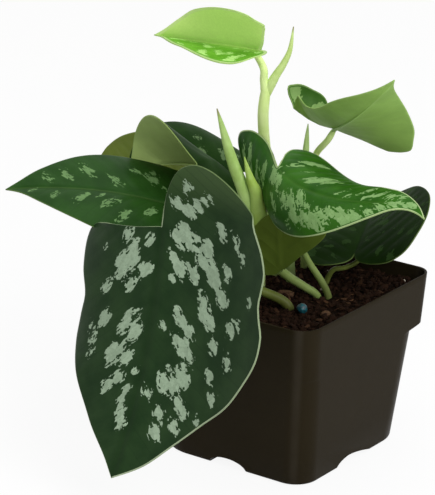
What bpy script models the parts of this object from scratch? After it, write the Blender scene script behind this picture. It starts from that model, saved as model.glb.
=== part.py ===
"""A satin pothos in a square nursery pot: pot, soil, nine leaves on their own stalks and three new spears.

Lengths are written in millimetres and angles in degrees; MM turns them into Blender's metres.
The origin is on the pot's axis, on the surface that the pot stands on. The pot's faces look along X and Y.
"""

import math

import bmesh
import bpy
import numpy as np

MM = 0.001
GAP = 0.3  # clearance between pieces that touch

# Pot: a thin moulded shell that widens upwards, with square ears at its four upper corners.
POT_HEIGHT = 85.0
POT_TOP_SIDE = 108.0
POT_BASE_SIDE = 88.6
POT_WALL = 1.3
BODY_CORNER = 18.0  # corner radius below the ears
EAR_Z = 56.5  # where the ears start
EAR_LEDGE = 1.5  # height of the ledge under an ear
EAR_CORNER = 5.0
RIM_CORNER = 9.0
FOOT_BEVEL = 1.2
CORNER_SEGMENTS = 4

# Drain arches: pockets in the foot, one in the middle of each side, with a slot through the roof.
ARCH_WIDTH = 21.0
ARCH_HEIGHT = 6.0
ARCH_DEPTH = 17.0
ARCH_SEGMENTS = 8
SLOT_RADIUS = 2.5
SLOT_INSET = 10.0

# Soil and what lies on it.
SOIL_TOP = 79.0
ROOT_DEPTH = 9.0  # how deep a stalk is planted
SOCKET_FLARE = 2.2  # room round a stalk where it leans out of the soil
BEAD_RADIUS = 2.6
BEAD_PLACE = (26.7, -20.3)
CHIP_TOP = 0.7  # share of a chip's length and width left at its top
CHIP_NARROW_END = 0.6
CHIP_EDGE = 0.5  # bevel of its worn edges
BARK_CHIPS = {
    "bark_chip_long": dict(place=(6.0, -5.0), size=(8.0, 4.5, 3.0), turn=25),
    "bark_chip_flat": dict(place=(2.0, -11.0), size=(6.0, 4.0, 2.0), turn=-30),
    "bark_chip_small": dict(place=(36.0, -14.0), size=(5.0, 4.0, 2.4), turn=60),
}

LEAF_THICKNESS = 0.8
STALK_SEAT = 3.5  # how far along the midrib a stalk meets its blade
STALK_CLEARANCE = 0.8  # from a stalk's flat end to the drooping blade over it
STALK_APPROACH = 5.0  # length of a stalk's straight end, square to its blade
LEAF_COLUMNS = 8
LEAF_ROWS = 14
ROW_CROWDING = 1.6  # above 1, a blade's rows crowd towards its joint
OUTLINE_STEPS = 8  # points on the margin for each row
WELD = 0.1

# One half of a heart-shaped blade, from the joint round the lobe and out to the tip:
# along the midrib as a share of the length, across it as a share of the half width.
HEART = [
    (0.0, 0.0), (-0.09, 0.03), (-0.175, 0.13), (-0.225, 0.33), (-0.21, 0.60), (-0.09, 0.86),
    (0.12, 1.0), (0.36, 0.96), (0.58, 0.76), (0.78, 0.44), (0.92, 0.14), (1.0, 0.0),
]
HALF = dict(fold=0, cup=0, curl=0, lobe=1.0, lift=0, overlap=0.0)
BLADE = dict(bend=0, sweep=0, twist=0, droop=0)

# Each blade: joint with its stalk, heading and pitch of the midrib there, roll about the midrib,
# then how the midrib bends up, sweeps sideways and twists by the tip, and each half's own shape.
LEAVES = {
    "leaf_front": dict(
        joint=(-25, -63, 124.5), heading=-62, pitch=-65, roll=14, length=124,
        bend=10, sweep=-19, twist=-30,
        left=dict(width=69, curl=45, lobe=1.5, lift=34),
        right=dict(width=54, fold=-7, curl=-36, lobe=0.3, lift=-25)),
    "leaf_left": dict(
        joint=(-58.5, -11, 113.5), heading=219, pitch=18, roll=-10, length=83, bend=-23,
        left=dict(width=34, fold=10, curl=-43),
        right=dict(width=34, fold=18, curl=-27)),
    "leaf_cupped": dict(
        joint=(-48, 20, 125), heading=189, pitch=10, roll=-4, length=56, bend=-36, sweep=7,
        left=dict(width=43, fold=44, cup=61, curl=-34),
        right=dict(width=41, fold=31, cup=31, curl=-80)),
    "leaf_back_left": dict(
        joint=(-76, 38, 100), heading=177, pitch=11, roll=59, length=76, bend=-20,
        left=dict(width=26, fold=12, curl=-6),
        right=dict(width=26, fold=10, curl=-10)),
    "leaf_upper_right": dict(
        joint=(6, 35, 154), heading=-48, pitch=19, roll=-33, length=88,
        bend=25, sweep=30, twist=35,
        left=dict(width=34, fold=12, curl=-6),
        right=dict(width=33, fold=14, curl=-10, lobe=1.65, lift=43)),
    "leaf_right": dict(
        joint=(5, -11, 146), heading=-38, pitch=-6, roll=31, length=99,
        bend=20, sweep=62, twist=-9, droop=-63,
        left=dict(width=26, fold=-5, cup=4, curl=-48, lift=-28),
        right=dict(width=25, fold=-13, cup=48, curl=-75, lobe=1.84, lift=9, overlap=0.06)),
    "leaf_low_right": dict(
        joint=(28, 22, 97), heading=112, pitch=18, roll=-8, length=69, bend=-27, twist=-13,
        left=dict(width=28, fold=10, curl=-18, lobe=0.7, lift=15),
        right=dict(width=40, fold=12, curl=16, lobe=0.55, lift=-36)),
    "leaf_inner": dict(
        joint=(6.5, -10, 93.5), heading=283, pitch=84, roll=0, length=34,
        left=dict(width=12, fold=-8, lobe=0.2),
        right=dict(width=19, fold=-8, lobe=0.4)),
    "leaf_top": dict(
        joint=(-16, 4, 197), heading=179, pitch=-4, roll=-29, length=61, bend=5, sweep=12, twist=16,
        left=dict(width=24, fold=28, curl=-2, lobe=0.59, lift=22),
        right=dict(width=24, fold=58, curl=62, lobe=0.56, lift=19)),
}

# Stalks of the blades: planted at root, through the points of way, up to the blade's joint.
# Radii are at the soil and at the blade.
STALKS = {
    "stalk_front": dict(leaf="leaf_front", root=(17.0, -17.5), radii=(2.8, 1.5),
                        way=[(13.5, -19.5, 83), (4, -25.5, 88), (-12, -36, 98)]),
    "stalk_left": dict(leaf="leaf_left", root=(-16, -8), radii=(1.9, 1.4),
                       way=[(-24, -11, 92), (-42, -14, 97), (-54, -14, 103)]),
    "stalk_cupped": dict(leaf="leaf_cupped", root=(-22, 10), radii=(1.6, 1.2),
                         way=[(-28, 13, 96), (-42, 18, 110)]),
    "stalk_back_left": dict(leaf="leaf_back_left", root=(-24, 24), radii=(1.6, 1.2),
                            way=[(-36, 28, 88), (-56, 34, 90)]),
    "stalk_upper_right": dict(leaf="leaf_upper_right", root=(-8, 31), radii=(1.8, 1.3),
                              way=[(-9, 33, 108), (-3, 32, 138)]),
    "stalk_right": dict(leaf="leaf_right", root=(23.5, 6.5), radii=(1.9, 1.4),
                        way=[(20.8, 4.9, 86.1), (15.1, 0.9, 97.4), (10, -3, 112), (8, -7, 130)]),
    "stalk_low_right": dict(leaf="leaf_low_right", root=(13, 20), radii=(1.5, 1.1),
                            way=[(17, 20, 87), (23, 22, 89)]),
    "stalk_inner": dict(leaf="leaf_inner", root=(19.6, 3.0), radii=(1.7, 2.1),
                        way=[(12.1, -1.3, 84), (8.5, -8, 85), (6.8, -13.5, 88.5)]),
}

# The main stem carries the top leaf's stalk and the spear that unrolls beside it.
MAIN_STEM = dict(root=(-14, 15), radii=(2.9, 3.1),
                 way=[(-16, 15, 110), (-20, 14.5, 140), (-15.8, 6.0, 164), (-13.1, 5.5, 181)])
SIDE_STEM = dict(root=(-11, -3), radii=(2.4, 3.2), way=[(-9.5, -5, 95), (-8, -9, 108), (-6.6, -13, 117)])
BACK_SPEAR = dict(root=(-3, 12), radii=(1.7, 0.25), way=[(-3, 12, 105), (1.5, 15.8, 135), (3.2, 16.9, 160.3)])
TOP_STALK = dict(start=(-14.6, 4.5, 181.6), radii=(1.7, 1.4), way=[(-14.4, 4.5, 187.3)])
SPEARS = {
    "spear_top": dict(radii=(1.7, 0.3),
                      way=[(-11.5, 6.7, 181.9), (-9.5, 7.9, 184.8), (-6.6, 10, 190.5), (-4.2, 11.7, 197.4),
                           (-2.9, 12.6, 209)]),
    "spear_left": dict(radii=(2.5, 0.3),
                       way=[(-8.7, -13.4, 118.2), (-11.5, -15.5, 132), (-16, -18.6, 147), (-22.1, -23, 173.4)]),
    "sheath_left": dict(radii=(2.0, 0.3),
                        way=[(-4.0, -12.8, 118.2), (-6.1, -14.7, 131), (-9.6, -17.2, 150)]),
}
PATH_STEP = 6.0  # spacing of the points along a stalk
SPEAR_TAPER = 1.8  # above 1, a spear stays thick and narrows near its tip
STALK_SIDES = 2  # bevel resolution

COLOURS = {
    "pot": (0.022, 0.017, 0.013, 1.0),
    "soil": (0.020, 0.011, 0.007, 1.0),
    "bark": (0.230, 0.110, 0.050, 1.0),
    "bead": (0.010, 0.130, 0.140, 1.0),
    "leaf_dark": (0.018, 0.052, 0.022, 1.0),
    "leaf_green": (0.040, 0.160, 0.020, 1.0),
    "leaf_young": (0.230, 0.480, 0.070, 1.0),
    "leaf_pale": (0.190, 0.310, 0.100, 1.0),
    "stalk": (0.300, 0.420, 0.120, 1.0),
}
LEAF_COLOURS = {
    "leaf_right": "leaf_green", "leaf_top": "leaf_young",
    "leaf_upper_right": "leaf_pale", "leaf_back_left": "leaf_pale",
}


def clear_scene():
    for obj in list(bpy.data.objects):
        bpy.data.objects.remove(obj, do_unlink=True)


def new_collection(name):
    collection = bpy.data.collections.new(name)
    bpy.context.scene.collection.children.link(collection)
    return collection


def new_material(name, colour, roughness):
    material = bpy.data.materials.new(name)
    material.use_nodes = True
    shader = material.node_tree.nodes["Principled BSDF"]
    shader.inputs["Base Color"].default_value = colour
    shader.inputs["Roughness"].default_value = roughness
    return material


def add_object(name, data, collection, material):
    obj = bpy.data.objects.new(name, data)
    collection.objects.link(obj)
    if material:
        data.materials.append(material)
    return obj


def mesh_from(bm, name):
    bmesh.ops.recalc_face_normals(bm, faces=bm.faces)
    mesh = bpy.data.meshes.new(name)
    bm.to_mesh(mesh)
    bm.free()
    return mesh


def cut(obj, cutter):
    cutter.hide_render = True
    cutter.display_type = "WIRE"
    modifier = obj.modifiers.new(f"cut_{cutter.name}", "BOOLEAN")
    modifier.operation = "DIFFERENCE"
    modifier.solver = "EXACT"
    modifier.object = cutter
    return modifier


# Pot and soil -------------------------------------------------------------------------------------

def pot_side(z):
    return POT_BASE_SIDE + (POT_TOP_SIDE - POT_BASE_SIDE) * z / POT_HEIGHT


def rounded_square(side, radius, z):
    """Points round a square with rounded corners, anticlockwise from above."""
    points = []
    reach = side / 2 - radius
    for corner in range(4):
        centre = math.radians(90 * corner + 45)
        cx = math.copysign(reach, math.cos(centre))
        cy = math.copysign(reach, math.sin(centre))
        for step in range(CORNER_SEGMENTS + 1):
            angle = math.radians(90 * corner + 90 * step / CORNER_SEGMENTS)
            points.append((cx + radius * math.cos(angle), cy + radius * math.sin(angle), z))
    return points


def loft(rings):
    """A closed solid through rings of rounded squares, each (side, corner radius, height)."""
    bm = bmesh.new()
    loops = []
    for side, radius, z in rings:
        points = rounded_square(side, radius, z)
        circle = bmesh.ops.create_circle(bm, segments=len(points), radius=1.0)["verts"]
        for vert, point in zip(circle, points):
            vert.co = [c * MM for c in point]
        loops.append([e for e in bm.edges if all(v in set(circle) for v in e.verts)])
    for lower, upper in zip(loops, loops[1:]):
        bmesh.ops.bridge_loops(bm, edges=lower + upper)
    for loop in (loops[0], loops[-1]):
        bmesh.ops.contextual_create(bm, geom=loop)
    return bm


def shell_rings(inset, foot, top):
    """The pot's outline moved in by inset, from foot up to top."""
    def ring(z, radius):
        return (pot_side(z) - 2 * inset, max(radius - inset, 0.6), z)

    ledge = EAR_Z + inset
    low = foot + FOOT_BEVEL
    base = (pot_side(foot) - 2 * inset - 2 * FOOT_BEVEL, BODY_CORNER - inset - FOOT_BEVEL, foot)
    rim_corner = EAR_CORNER + (RIM_CORNER - EAR_CORNER) * (top - EAR_Z) / (POT_HEIGHT - EAR_Z)
    return [base, ring(low, BODY_CORNER), ring(ledge, BODY_CORNER),
            ring(ledge + EAR_LEDGE, EAR_CORNER), ring(top, rim_corner)]


def arch_cutter(name, margin, collection):
    """Four arched prisms under the middle of each side, larger all round by margin."""
    bm = bmesh.new()
    half = pot_side(0) / 2
    depth = ARCH_DEPTH + margin
    for side in range(4):
        made = bmesh.ops.create_cone(
            bm, cap_ends=True, segments=4 * ARCH_SEGMENTS, radius1=1.0, radius2=1.0, depth=2.0 * depth)
        turn = math.radians(90 * side)
        for vert in made["verts"]:
            across = vert.co.x * (ARCH_WIDTH / 2 + margin)
            up = vert.co.y * (ARCH_HEIGHT + margin)
            out = half + vert.co.z
            vert.co = (MM * (out * math.cos(turn) - across * math.sin(turn)),
                       MM * (out * math.sin(turn) + across * math.cos(turn)), MM * up)
    return add_object(name, mesh_from(bm, name), collection, None)


def slot_cutter(collection):
    """A round drain hole through the roof of each arch."""
    bm = bmesh.new()
    reach = pot_side(0) / 2 - SLOT_INSET
    for side in range(4):
        made = bmesh.ops.create_cone(
            bm, cap_ends=True, segments=12, radius1=SLOT_RADIUS * MM, radius2=SLOT_RADIUS * MM,
            depth=2 * ARCH_HEIGHT * MM)
        turn = math.radians(90 * side)
        bmesh.ops.translate(bm, verts=made["verts"], vec=(
            reach * MM * math.cos(turn), reach * MM * math.sin(turn), ARCH_HEIGHT * MM))
    return add_object("drain_slots", mesh_from(bm, "drain_slots"), collection, None)


def build_pot(parts, cutters, material):
    pot = add_object("pot", mesh_from(loft(shell_rings(0, 0, POT_HEIGHT)), "pot"), parts, material)
    hollow_rings = shell_rings(POT_WALL, POT_WALL, POT_HEIGHT + 1)
    hollow = add_object("pot_hollow", mesh_from(loft(hollow_rings), "pot_hollow"), cutters, None)
    cut(hollow, arch_cutter("arch_walls", POT_WALL, cutters))
    cut(pot, hollow)
    cut(pot, arch_cutter("drain_arches", 0, cutters))
    cut(pot, slot_cutter(cutters))


def build_soil(parts, cutters, material, roots):
    """The root ball fills the pot; a socket holds each planted stalk."""
    inset = POT_WALL + GAP
    soil = add_object("soil", mesh_from(loft(shell_rings(inset, inset, SOIL_TOP)), "soil"), parts, material)
    cut(soil, arch_cutter("soil_over_arches", inset, cutters))

    bm = bmesh.new()
    for (x, y), radius in roots:
        depth = ROOT_DEPTH + 2 * GAP
        made = bmesh.ops.create_cone(
            bm, cap_ends=True, segments=12, radius1=(radius + 2 * GAP) * MM,
            radius2=(radius + SOCKET_FLARE) * MM, depth=depth * MM)
        bmesh.ops.translate(bm, verts=made["verts"], vec=(x * MM, y * MM, (SOIL_TOP + GAP - depth / 2) * MM))
    sockets = cut(soil, add_object("stalk_sockets", mesh_from(bm, "stalk_sockets"), cutters, None))
    sockets.use_self = True  # neighbouring sockets run into each other


def build_litter(parts, bark, bead):
    """Bark chips and one fertiliser bead lie on the soil."""
    for name, chip in BARK_CHIPS.items():
        bm = bmesh.new()
        bmesh.ops.create_cube(bm, size=MM)
        length, width, height = chip["size"]
        turn = math.radians(chip["turn"])
        for vert in bm.verts:
            taper = CHIP_TOP if vert.co.z > 0 else 1.0
            narrow = 1.0 if vert.co.x > 0 else CHIP_NARROW_END
            x = vert.co.x * length * taper
            y = vert.co.y * width * narrow * taper
            z = vert.co.z * height
            vert.co = (chip["place"][0] * MM + x * math.cos(turn) - y * math.sin(turn),
                       chip["place"][1] * MM + x * math.sin(turn) + y * math.cos(turn),
                       (SOIL_TOP + GAP + height / 2) * MM + z)
        obj = add_object(name, mesh_from(bm, name), parts, bark)
        edge = obj.modifiers.new("worn_edges", "BEVEL")
        edge.width = CHIP_EDGE * MM
        edge.segments = 1

    bm = bmesh.new()
    bmesh.ops.create_uvsphere(bm, u_segments=14, v_segments=8, radius=BEAD_RADIUS * MM)
    x, y = BEAD_PLACE
    bmesh.ops.translate(bm, verts=bm.verts, vec=(x * MM, y * MM, (SOIL_TOP + GAP + BEAD_RADIUS) * MM))
    add_object("fertiliser_bead", mesh_from(bm, "fertiliser_bead"), parts, bead)


# Leaves -------------------------------------------------------------------------------------------

def smooth_curve(points, count):
    """A smooth curve through the points, sampled evenly along its chords."""
    points = np.asarray(points, float)
    chord = np.r_[0, np.cumsum(np.linalg.norm(np.diff(points, axis=0), axis=1))]
    chord /= chord[-1]
    last = len(points) - 1
    slopes = np.array([(points[min(i + 1, last)] - points[max(i - 1, 0)])
                       / (chord[min(i + 1, last)] - chord[max(i - 1, 0)]) for i in range(last + 1)])
    where = np.linspace(0, 1, count)
    k = np.clip(np.searchsorted(chord, where, side="right") - 1, 0, last - 1)
    h = (chord[k + 1] - chord[k])[:, None]
    s = (where - chord[k])[:, None] / h
    return ((2 * s**3 - 3 * s**2 + 1) * points[k] + (s**3 - 2 * s**2 + s) * h * slopes[k]
            + (3 * s**2 - 2 * s**3) * points[k + 1] + (s**3 - s**2) * h * slopes[k + 1])


def midrib(leaf, half, along):
    """Points on the midrib, with its forward, left and upward directions there."""
    leaf = {**BLADE, **leaf}
    x = np.linspace(-0.5, 1, 151)
    ahead = np.clip(x, 0, 1)
    lobe_lift = half["lift"] * np.clip(x, -1, 0) / 0.2
    droop = leaf["droop"] * np.clip((x - 0.8) / 0.2, 0, 1)
    heading = np.radians(leaf["heading"] + leaf["sweep"] * ahead)
    pitch = np.radians(leaf["pitch"] + leaf["bend"] * ahead + lobe_lift + droop)
    roll = np.radians(leaf["roll"] + leaf["twist"] * ahead)[:, None]

    forward = np.stack([np.cos(pitch) * np.cos(heading), np.cos(pitch) * np.sin(heading), np.sin(pitch)], 1)
    level = np.stack([-np.sin(heading), np.cos(heading), 0 * heading], 1)
    square = np.cross(forward, level)
    left = level * np.cos(roll) + square * np.sin(roll)
    up = square * np.cos(roll) - level * np.sin(roll)

    step = (x[1] - x[0]) * leaf["length"]
    place = np.zeros_like(forward)
    place[1:] = np.cumsum((forward[1:] + forward[:-1]) / 2 * step, axis=0)
    place += np.array(leaf["joint"]) - place[np.argmin(abs(x))]
    return [np.stack([np.interp(along, x, table[:, axis]) for axis in range(3)], -1)
            for table in (place, forward, left, up)]


def blade_points(leaf, side, along, across):
    """Flat blade coordinates on one half, carried onto the bent, folded and curled leaf."""
    half = {**HALF, **leaf["left" if side > 0 else "right"]}
    place, _, left, up = midrib(leaf, half, along)
    fold = np.radians(half["fold"] + half["cup"] * np.clip(along, 0, 1))
    bend = np.radians(half["curl"] or 0.01) / half["width"]
    reach = across * half["width"]
    out = (np.sin(fold + bend * reach) - np.sin(fold)) / bend
    rise = (np.cos(fold) - np.cos(fold + bend * reach)) / bend
    return place + left * (side * out)[:, None] + up * rise[:, None]


def half_outline(leaf, side, count):
    half = {**HALF, **leaf["left" if side > 0 else "right"]}
    overlap = [0, 1, 1.3, 0.9, 0.3]
    outline = [(x * half["lobe"] if x < 0 else x, y - half["overlap"] * (overlap[i] if i < len(overlap) else 0))
               for i, (x, y) in enumerate(HEART)]
    return smooth_curve(outline, count)


def build_leaf(name, leaf, parts, material):
    """A grid runs from margin to margin and from the joint to the tip; the joint row closes to a point."""
    bm = bmesh.new()
    bmesh.ops.create_grid(bm, x_segments=LEAF_COLUMNS, y_segments=LEAF_ROWS, size=1.0)
    verts = list(bm.verts)
    u = np.array([round(v.co.x, 5) for v in verts])
    v = np.array([round((v.co.y + 1) / 2, 5) for v in verts])
    rows = np.rint(v * LEAF_ROWS).astype(int)
    for side in (1, -1):
        margin = half_outline(leaf, side, OUTLINE_STEPS * LEAF_ROWS + 1)[::OUTLINE_STEPS]
        chosen = np.nonzero(u * side >= 0)[0]
        share = abs(u[chosen])
        edge = margin[rows[chosen]]
        along = v[chosen] ** ROW_CROWDING * (1 - share) + edge[:, 0] * share
        for index, point in zip(chosen, blade_points(leaf, side, along, edge[:, 1] * share)):
            verts[index].co = point * MM
    bmesh.ops.remove_doubles(bm, verts=bm.verts, dist=WELD * MM)
    mesh = mesh_from(bm, name)
    mesh.shade_smooth()
    obj = add_object(name, mesh, parts, material)
    body = obj.modifiers.new("thickness", "SOLIDIFY")
    body.thickness = LEAF_THICKNESS * MM
    body.offset = 0


# Stalks, stems and spears -------------------------------------------------------------------------

def under_blade(leaf):
    """Where a stalk ends, just under the midrib, and a point short of it that leads there."""
    place, _, _, up = midrib(leaf, HALF, np.array([STALK_SEAT / leaf["length"]]))
    end = place[0] - up[0] * (LEAF_THICKNESS / 2 + STALK_CLEARANCE)
    return end - up[0] * STALK_APPROACH, end


def build_tube(name, way, radii, parts, material, taper=1.0):
    """A tapering round stalk on a smooth path through the points of way."""
    length = np.linalg.norm(np.diff(np.asarray(way, float), axis=0), axis=1).sum()
    path = smooth_curve(way, max(6, round(length / PATH_STEP)))
    curve = bpy.data.curves.new(name, "CURVE")
    curve.dimensions = "3D"
    curve.bevel_depth = MM
    curve.bevel_resolution = STALK_SIDES
    curve.use_fill_caps = True
    spline = curve.splines.new("POLY")
    spline.points.add(len(path) - 1)
    for index, point in enumerate(path):
        share = (index / (len(path) - 1)) ** taper
        spline.points[index].co = (*(point * MM), 1.0)
        spline.points[index].radius = radii[0] + (radii[1] - radii[0]) * share
    return add_object(name, curve, parts, material)


def planted(root):
    """The two lowest points of a planted stalk: in its socket, and where it leaves the soil."""
    x, y = root
    return [(x, y, SOIL_TOP - ROOT_DEPTH), (x, y, SOIL_TOP)]


def build_stalks(parts, material):
    for name, stalk in STALKS.items():
        way = planted(stalk["root"]) + stalk["way"] + list(under_blade(LEAVES[stalk["leaf"]]))
        build_tube(name, way, stalk["radii"], parts, material)
    for name, stem in (("main_stem", MAIN_STEM), ("side_stem", SIDE_STEM)):
        build_tube(name, planted(stem["root"]) + stem["way"], stem["radii"], parts, material)
    back_way = planted(BACK_SPEAR["root"]) + BACK_SPEAR["way"]
    build_tube("spear_back", back_way, BACK_SPEAR["radii"], parts, material, SPEAR_TAPER)
    top_way = [TOP_STALK["start"], *TOP_STALK["way"], *under_blade(LEAVES["leaf_top"])]
    build_tube("stalk_top", top_way, TOP_STALK["radii"], parts, material)
    for name, spear in SPEARS.items():
        build_tube(name, spear["way"], spear["radii"], parts, material, SPEAR_TAPER)


def main():
    clear_scene()
    parts = new_collection("potted_pothos")
    cutters = new_collection("cutters")
    roughness = {"pot": 0.45, "soil": 0.95, "bark": 0.9, "bead": 0.5}
    materials = {name: new_material(name, colour, roughness.get(name, 0.55)) for name, colour in COLOURS.items()}

    roots = [(stalk["root"], stalk["radii"][0]) for stalk in (*STALKS.values(), MAIN_STEM, SIDE_STEM, BACK_SPEAR)]
    build_pot(parts, cutters, materials["pot"])
    build_soil(parts, cutters, materials["soil"], roots)
    build_litter(parts, materials["bark"], materials["bead"])
    for name, leaf in LEAVES.items():
        build_leaf(name, leaf, parts, materials[LEAF_COLOURS.get(name, "leaf_dark")])
    build_stalks(parts, materials["stalk"])


main()
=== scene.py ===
import math
import random

import bmesh
import bpy
import numpy as np
from mathutils import Matrix, Vector, noise


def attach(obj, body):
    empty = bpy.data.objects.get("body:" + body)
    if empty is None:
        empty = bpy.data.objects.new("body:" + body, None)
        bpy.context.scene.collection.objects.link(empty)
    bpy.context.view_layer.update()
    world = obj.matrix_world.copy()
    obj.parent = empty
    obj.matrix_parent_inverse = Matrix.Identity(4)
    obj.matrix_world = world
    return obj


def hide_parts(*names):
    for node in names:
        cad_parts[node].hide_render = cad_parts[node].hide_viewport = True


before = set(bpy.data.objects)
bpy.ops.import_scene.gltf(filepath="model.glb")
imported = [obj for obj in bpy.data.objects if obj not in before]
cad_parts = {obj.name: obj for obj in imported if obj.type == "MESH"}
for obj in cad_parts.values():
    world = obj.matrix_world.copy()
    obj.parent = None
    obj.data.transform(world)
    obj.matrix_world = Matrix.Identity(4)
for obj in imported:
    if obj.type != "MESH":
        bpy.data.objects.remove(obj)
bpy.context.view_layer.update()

mm = 0.001
doubled = 0.002 * mm  # points closer than this are one point
noise.seed_set(1)  # without it noise_vector gives other values in each run


# shared helpers

def rgb(red, green, blue):
    # a screen colour, 0 to 255, as the linear colour that shaders take
    def linear(value):
        value /= 255
        return value / 12.92 if value <= 0.04045 else ((value + 0.055) / 1.055) ** 2.4
    return (linear(red), linear(green), linear(blue), 1.0)


def pieceName(node):
    # leaf_front becomes leafFront
    first, *rest = node.split("_")
    return first + "".join(word.capitalize() for word in rest)


def addPiece(name, bm, materials, nodes=(), smoothAngle=40):
    mesh = bpy.data.meshes.new(name)
    bm.to_mesh(mesh)
    bm.free()
    mesh.shade_smooth()
    mesh.set_sharp_from_angle(angle=math.radians(smoothAngle))
    piece = bpy.data.objects.new(name, mesh)
    bpy.context.scene.collection.objects.link(piece)
    for material in materials:
        mesh.materials.append(material)
    finishPiece(piece, nodes)
    return piece


def finishPiece(piece, nodes=()):
    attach(piece, "root")
    if nodes:
        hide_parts(*nodes)


def applyModifiers(piece):
    bpy.context.view_layer.update()
    graph = bpy.context.evaluated_depsgraph_get()
    mesh = bpy.data.meshes.new_from_object(piece.evaluated_get(graph))
    piece.modifiers.clear()
    piece.data = mesh


def setAttribute(mesh, name, values, kind="FLOAT"):
    attribute = mesh.attributes.new(name, kind, "POINT")
    field = "vector" if kind == "FLOAT_VECTOR" else "value"
    attribute.data.foreach_set(field, np.asarray(values, np.float32).ravel())


# a material's nodes; each helper returns the new node or its output socket

class Nodes:
    def __init__(self, name, **surface):
        self.material = bpy.data.materials.new(name)
        self.material.use_nodes = True
        self.tree = self.material.node_tree
        self.shader = self.tree.nodes["Principled BSDF"]
        for key, value in surface.items():
            self.shader.inputs[key.replace("_", " ")].default_value = value

    def add(self, kind, inputs=None, **settings):
        made = self.tree.nodes.new(kind)
        for key, value in settings.items():
            setattr(made, key, value)
        for key, value in (inputs or {}).items():
            self.put(made.inputs[key], value)
        return made

    def put(self, socket, value):
        if isinstance(value, bpy.types.NodeSocket):
            self.tree.links.new(value, socket)
        else:
            socket.default_value = value

    def work(self, operation, first, second=0.0):
        made = self.add("ShaderNodeMath", operation=operation)
        self.put(made.inputs[0], first)
        self.put(made.inputs[1], second)
        return made.outputs[0]

    def plus(self, first, second):
        return self.work("ADD", first, second)

    def minus(self, first, second):
        return self.work("SUBTRACT", first, second)

    def times(self, first, second):
        return self.work("MULTIPLY", first, second)

    def larger(self, first, second):
        return self.work("MAXIMUM", first, second)

    def size(self, value):
        return self.work("ABSOLUTE", value)

    def ramp(self, value, low, high, start=0.0, end=1.0):
        made = self.add("ShaderNodeMapRange", {
            "Value": value, "From Min": low, "From Max": high, "To Min": start, "To Max": end},
            interpolation_type="SMOOTHSTEP")
        return made.outputs[0]

    def mix(self, factor, first, second):
        made = self.add("ShaderNodeMix", data_type="RGBA")
        self.put(made.inputs[0], factor)
        self.put(made.inputs[6], first)
        self.put(made.inputs[7], second)
        return made.outputs[2]

    def noise(self, place, scale, detail=3.0, roughness=0.55):
        return self.add("ShaderNodeTexNoise", {
            "Vector": place, "Scale": scale, "Detail": detail, "Roughness": roughness}).outputs["Fac"]

    def objectPlace(self):
        # millimetres on the piece's own object coordinates
        coordinates = self.add("ShaderNodeTexCoord").outputs["Object"]
        made = self.add("ShaderNodeVectorMath", operation="SCALE")
        self.put(made.inputs[0], coordinates)
        made.inputs["Scale"].default_value = 1 / mm
        return made.outputs[0]

    def attribute(self, name, output="Fac"):
        return self.add("ShaderNodeAttribute", attribute_name=name).outputs[output]

    def paint(self, colour, roughness=None, height=None, depth=0.1):
        self.put(self.shader.inputs["Base Color"], colour)
        if roughness is not None:
            self.put(self.shader.inputs["Roughness"], roughness)
        if height is not None:
            bump = self.add("ShaderNodeBump", {"Height": height, "Strength": 1.0, "Distance": depth * mm})
            self.put(self.shader.inputs["Normal"], bump.outputs[0])
        return self.material


def smoothCurve(points, count):
    # a smooth curve through the points, sampled evenly along its chords
    points = np.asarray(points, float)
    chord = np.r_[0, np.cumsum(np.linalg.norm(np.diff(points, axis=0), axis=1))]
    chord /= chord[-1]
    last = len(points) - 1
    slopes = np.array([(points[min(i + 1, last)] - points[max(i - 1, 0)])
                       / (chord[min(i + 1, last)] - chord[max(i - 1, 0)]) for i in range(last + 1)])
    where = np.linspace(0, 1, count)
    k = np.clip(np.searchsorted(chord, where, side="right") - 1, 0, last - 1)
    h = (chord[k + 1] - chord[k])[:, None]
    s = (where - chord[k])[:, None] / h
    return ((2 * s**3 - 3 * s**2 + 1) * points[k] + (s**3 - 2 * s**2 + s) * h * slopes[k]
            + (3 * s**2 - 2 * s**3) * points[k + 1] + (s**3 - s**2) * h * slopes[k + 1])


# pot

pot = dict(
    height=85.0, topSide=108.0, baseSide=88.6, wall=1.3,
    bodyCorner=18.0, earZ=56.5, earLedge=1.5, earCorner=5.0, rimCorner=9.0,
    near=dict(bodyCorner=11.5, earCorner=10.7, rimCorner=11.0),  # the corner at +x, -y is cut back less
    footBevel=1.2, lip=0.35, cornerSteps=12,
    # one drain arch on each side, from +x round to -y; the first is wider and slopes down at one end
    archWidths=(29.0, 22.0, 22.0, 22.0), archSlopes=(0.45, 0.0, 0.0, 0.0), archHeight=4.6, archDepth=17.0,
    archSteps=16, slotRadius=2.5, slotInset=10.0,
    colour=rgb(39, 33, 21), mottleColour=rgb(34, 29, 18), dustColour=rgb(51, 44, 32),
    # the paler band up each corner, set by the next colour, middle and reach, is a painted highlight
    cornerHighlightColour=rgb(58, 53, 45), cornerHighlightMiddle=-5.0, cornerHighlightReach=4.5, roughness=0.34,
)


def potSide(z):
    return pot["baseSide"] + (pot["topSide"] - pot["baseSide"]) * z / pot["height"]


def cornerRadii(name):
    return np.array([pot[name], pot[name], pot[name], pot["near"][name]])


def roundedSquare(side, radii, z, steps):
    # counter-clockwise from the corner at +x, +y; each corner has its own radius
    points = []
    for corner, radius in enumerate(radii):
        middle = math.radians(90 * corner + 45)
        cx = math.copysign(side / 2 - radius, math.cos(middle))
        cy = math.copysign(side / 2 - radius, math.sin(middle))
        for step in range(steps + 1):
            angle = math.radians(90 * corner + 90 * step / steps)
            points.append((cx + radius * math.cos(angle), cy + radius * math.sin(angle), z))
        # two more points along the straight keep its shading flat right up to the corners
        (x, y, _), turn = points[-1], math.radians(90 * corner + 180)
        straight = side - radius - radii[(corner + 1) % 4]
        for past in (0.8, straight - 0.8):
            points.append((x + past * math.cos(turn), y + past * math.sin(turn), z))
    return points


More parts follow.
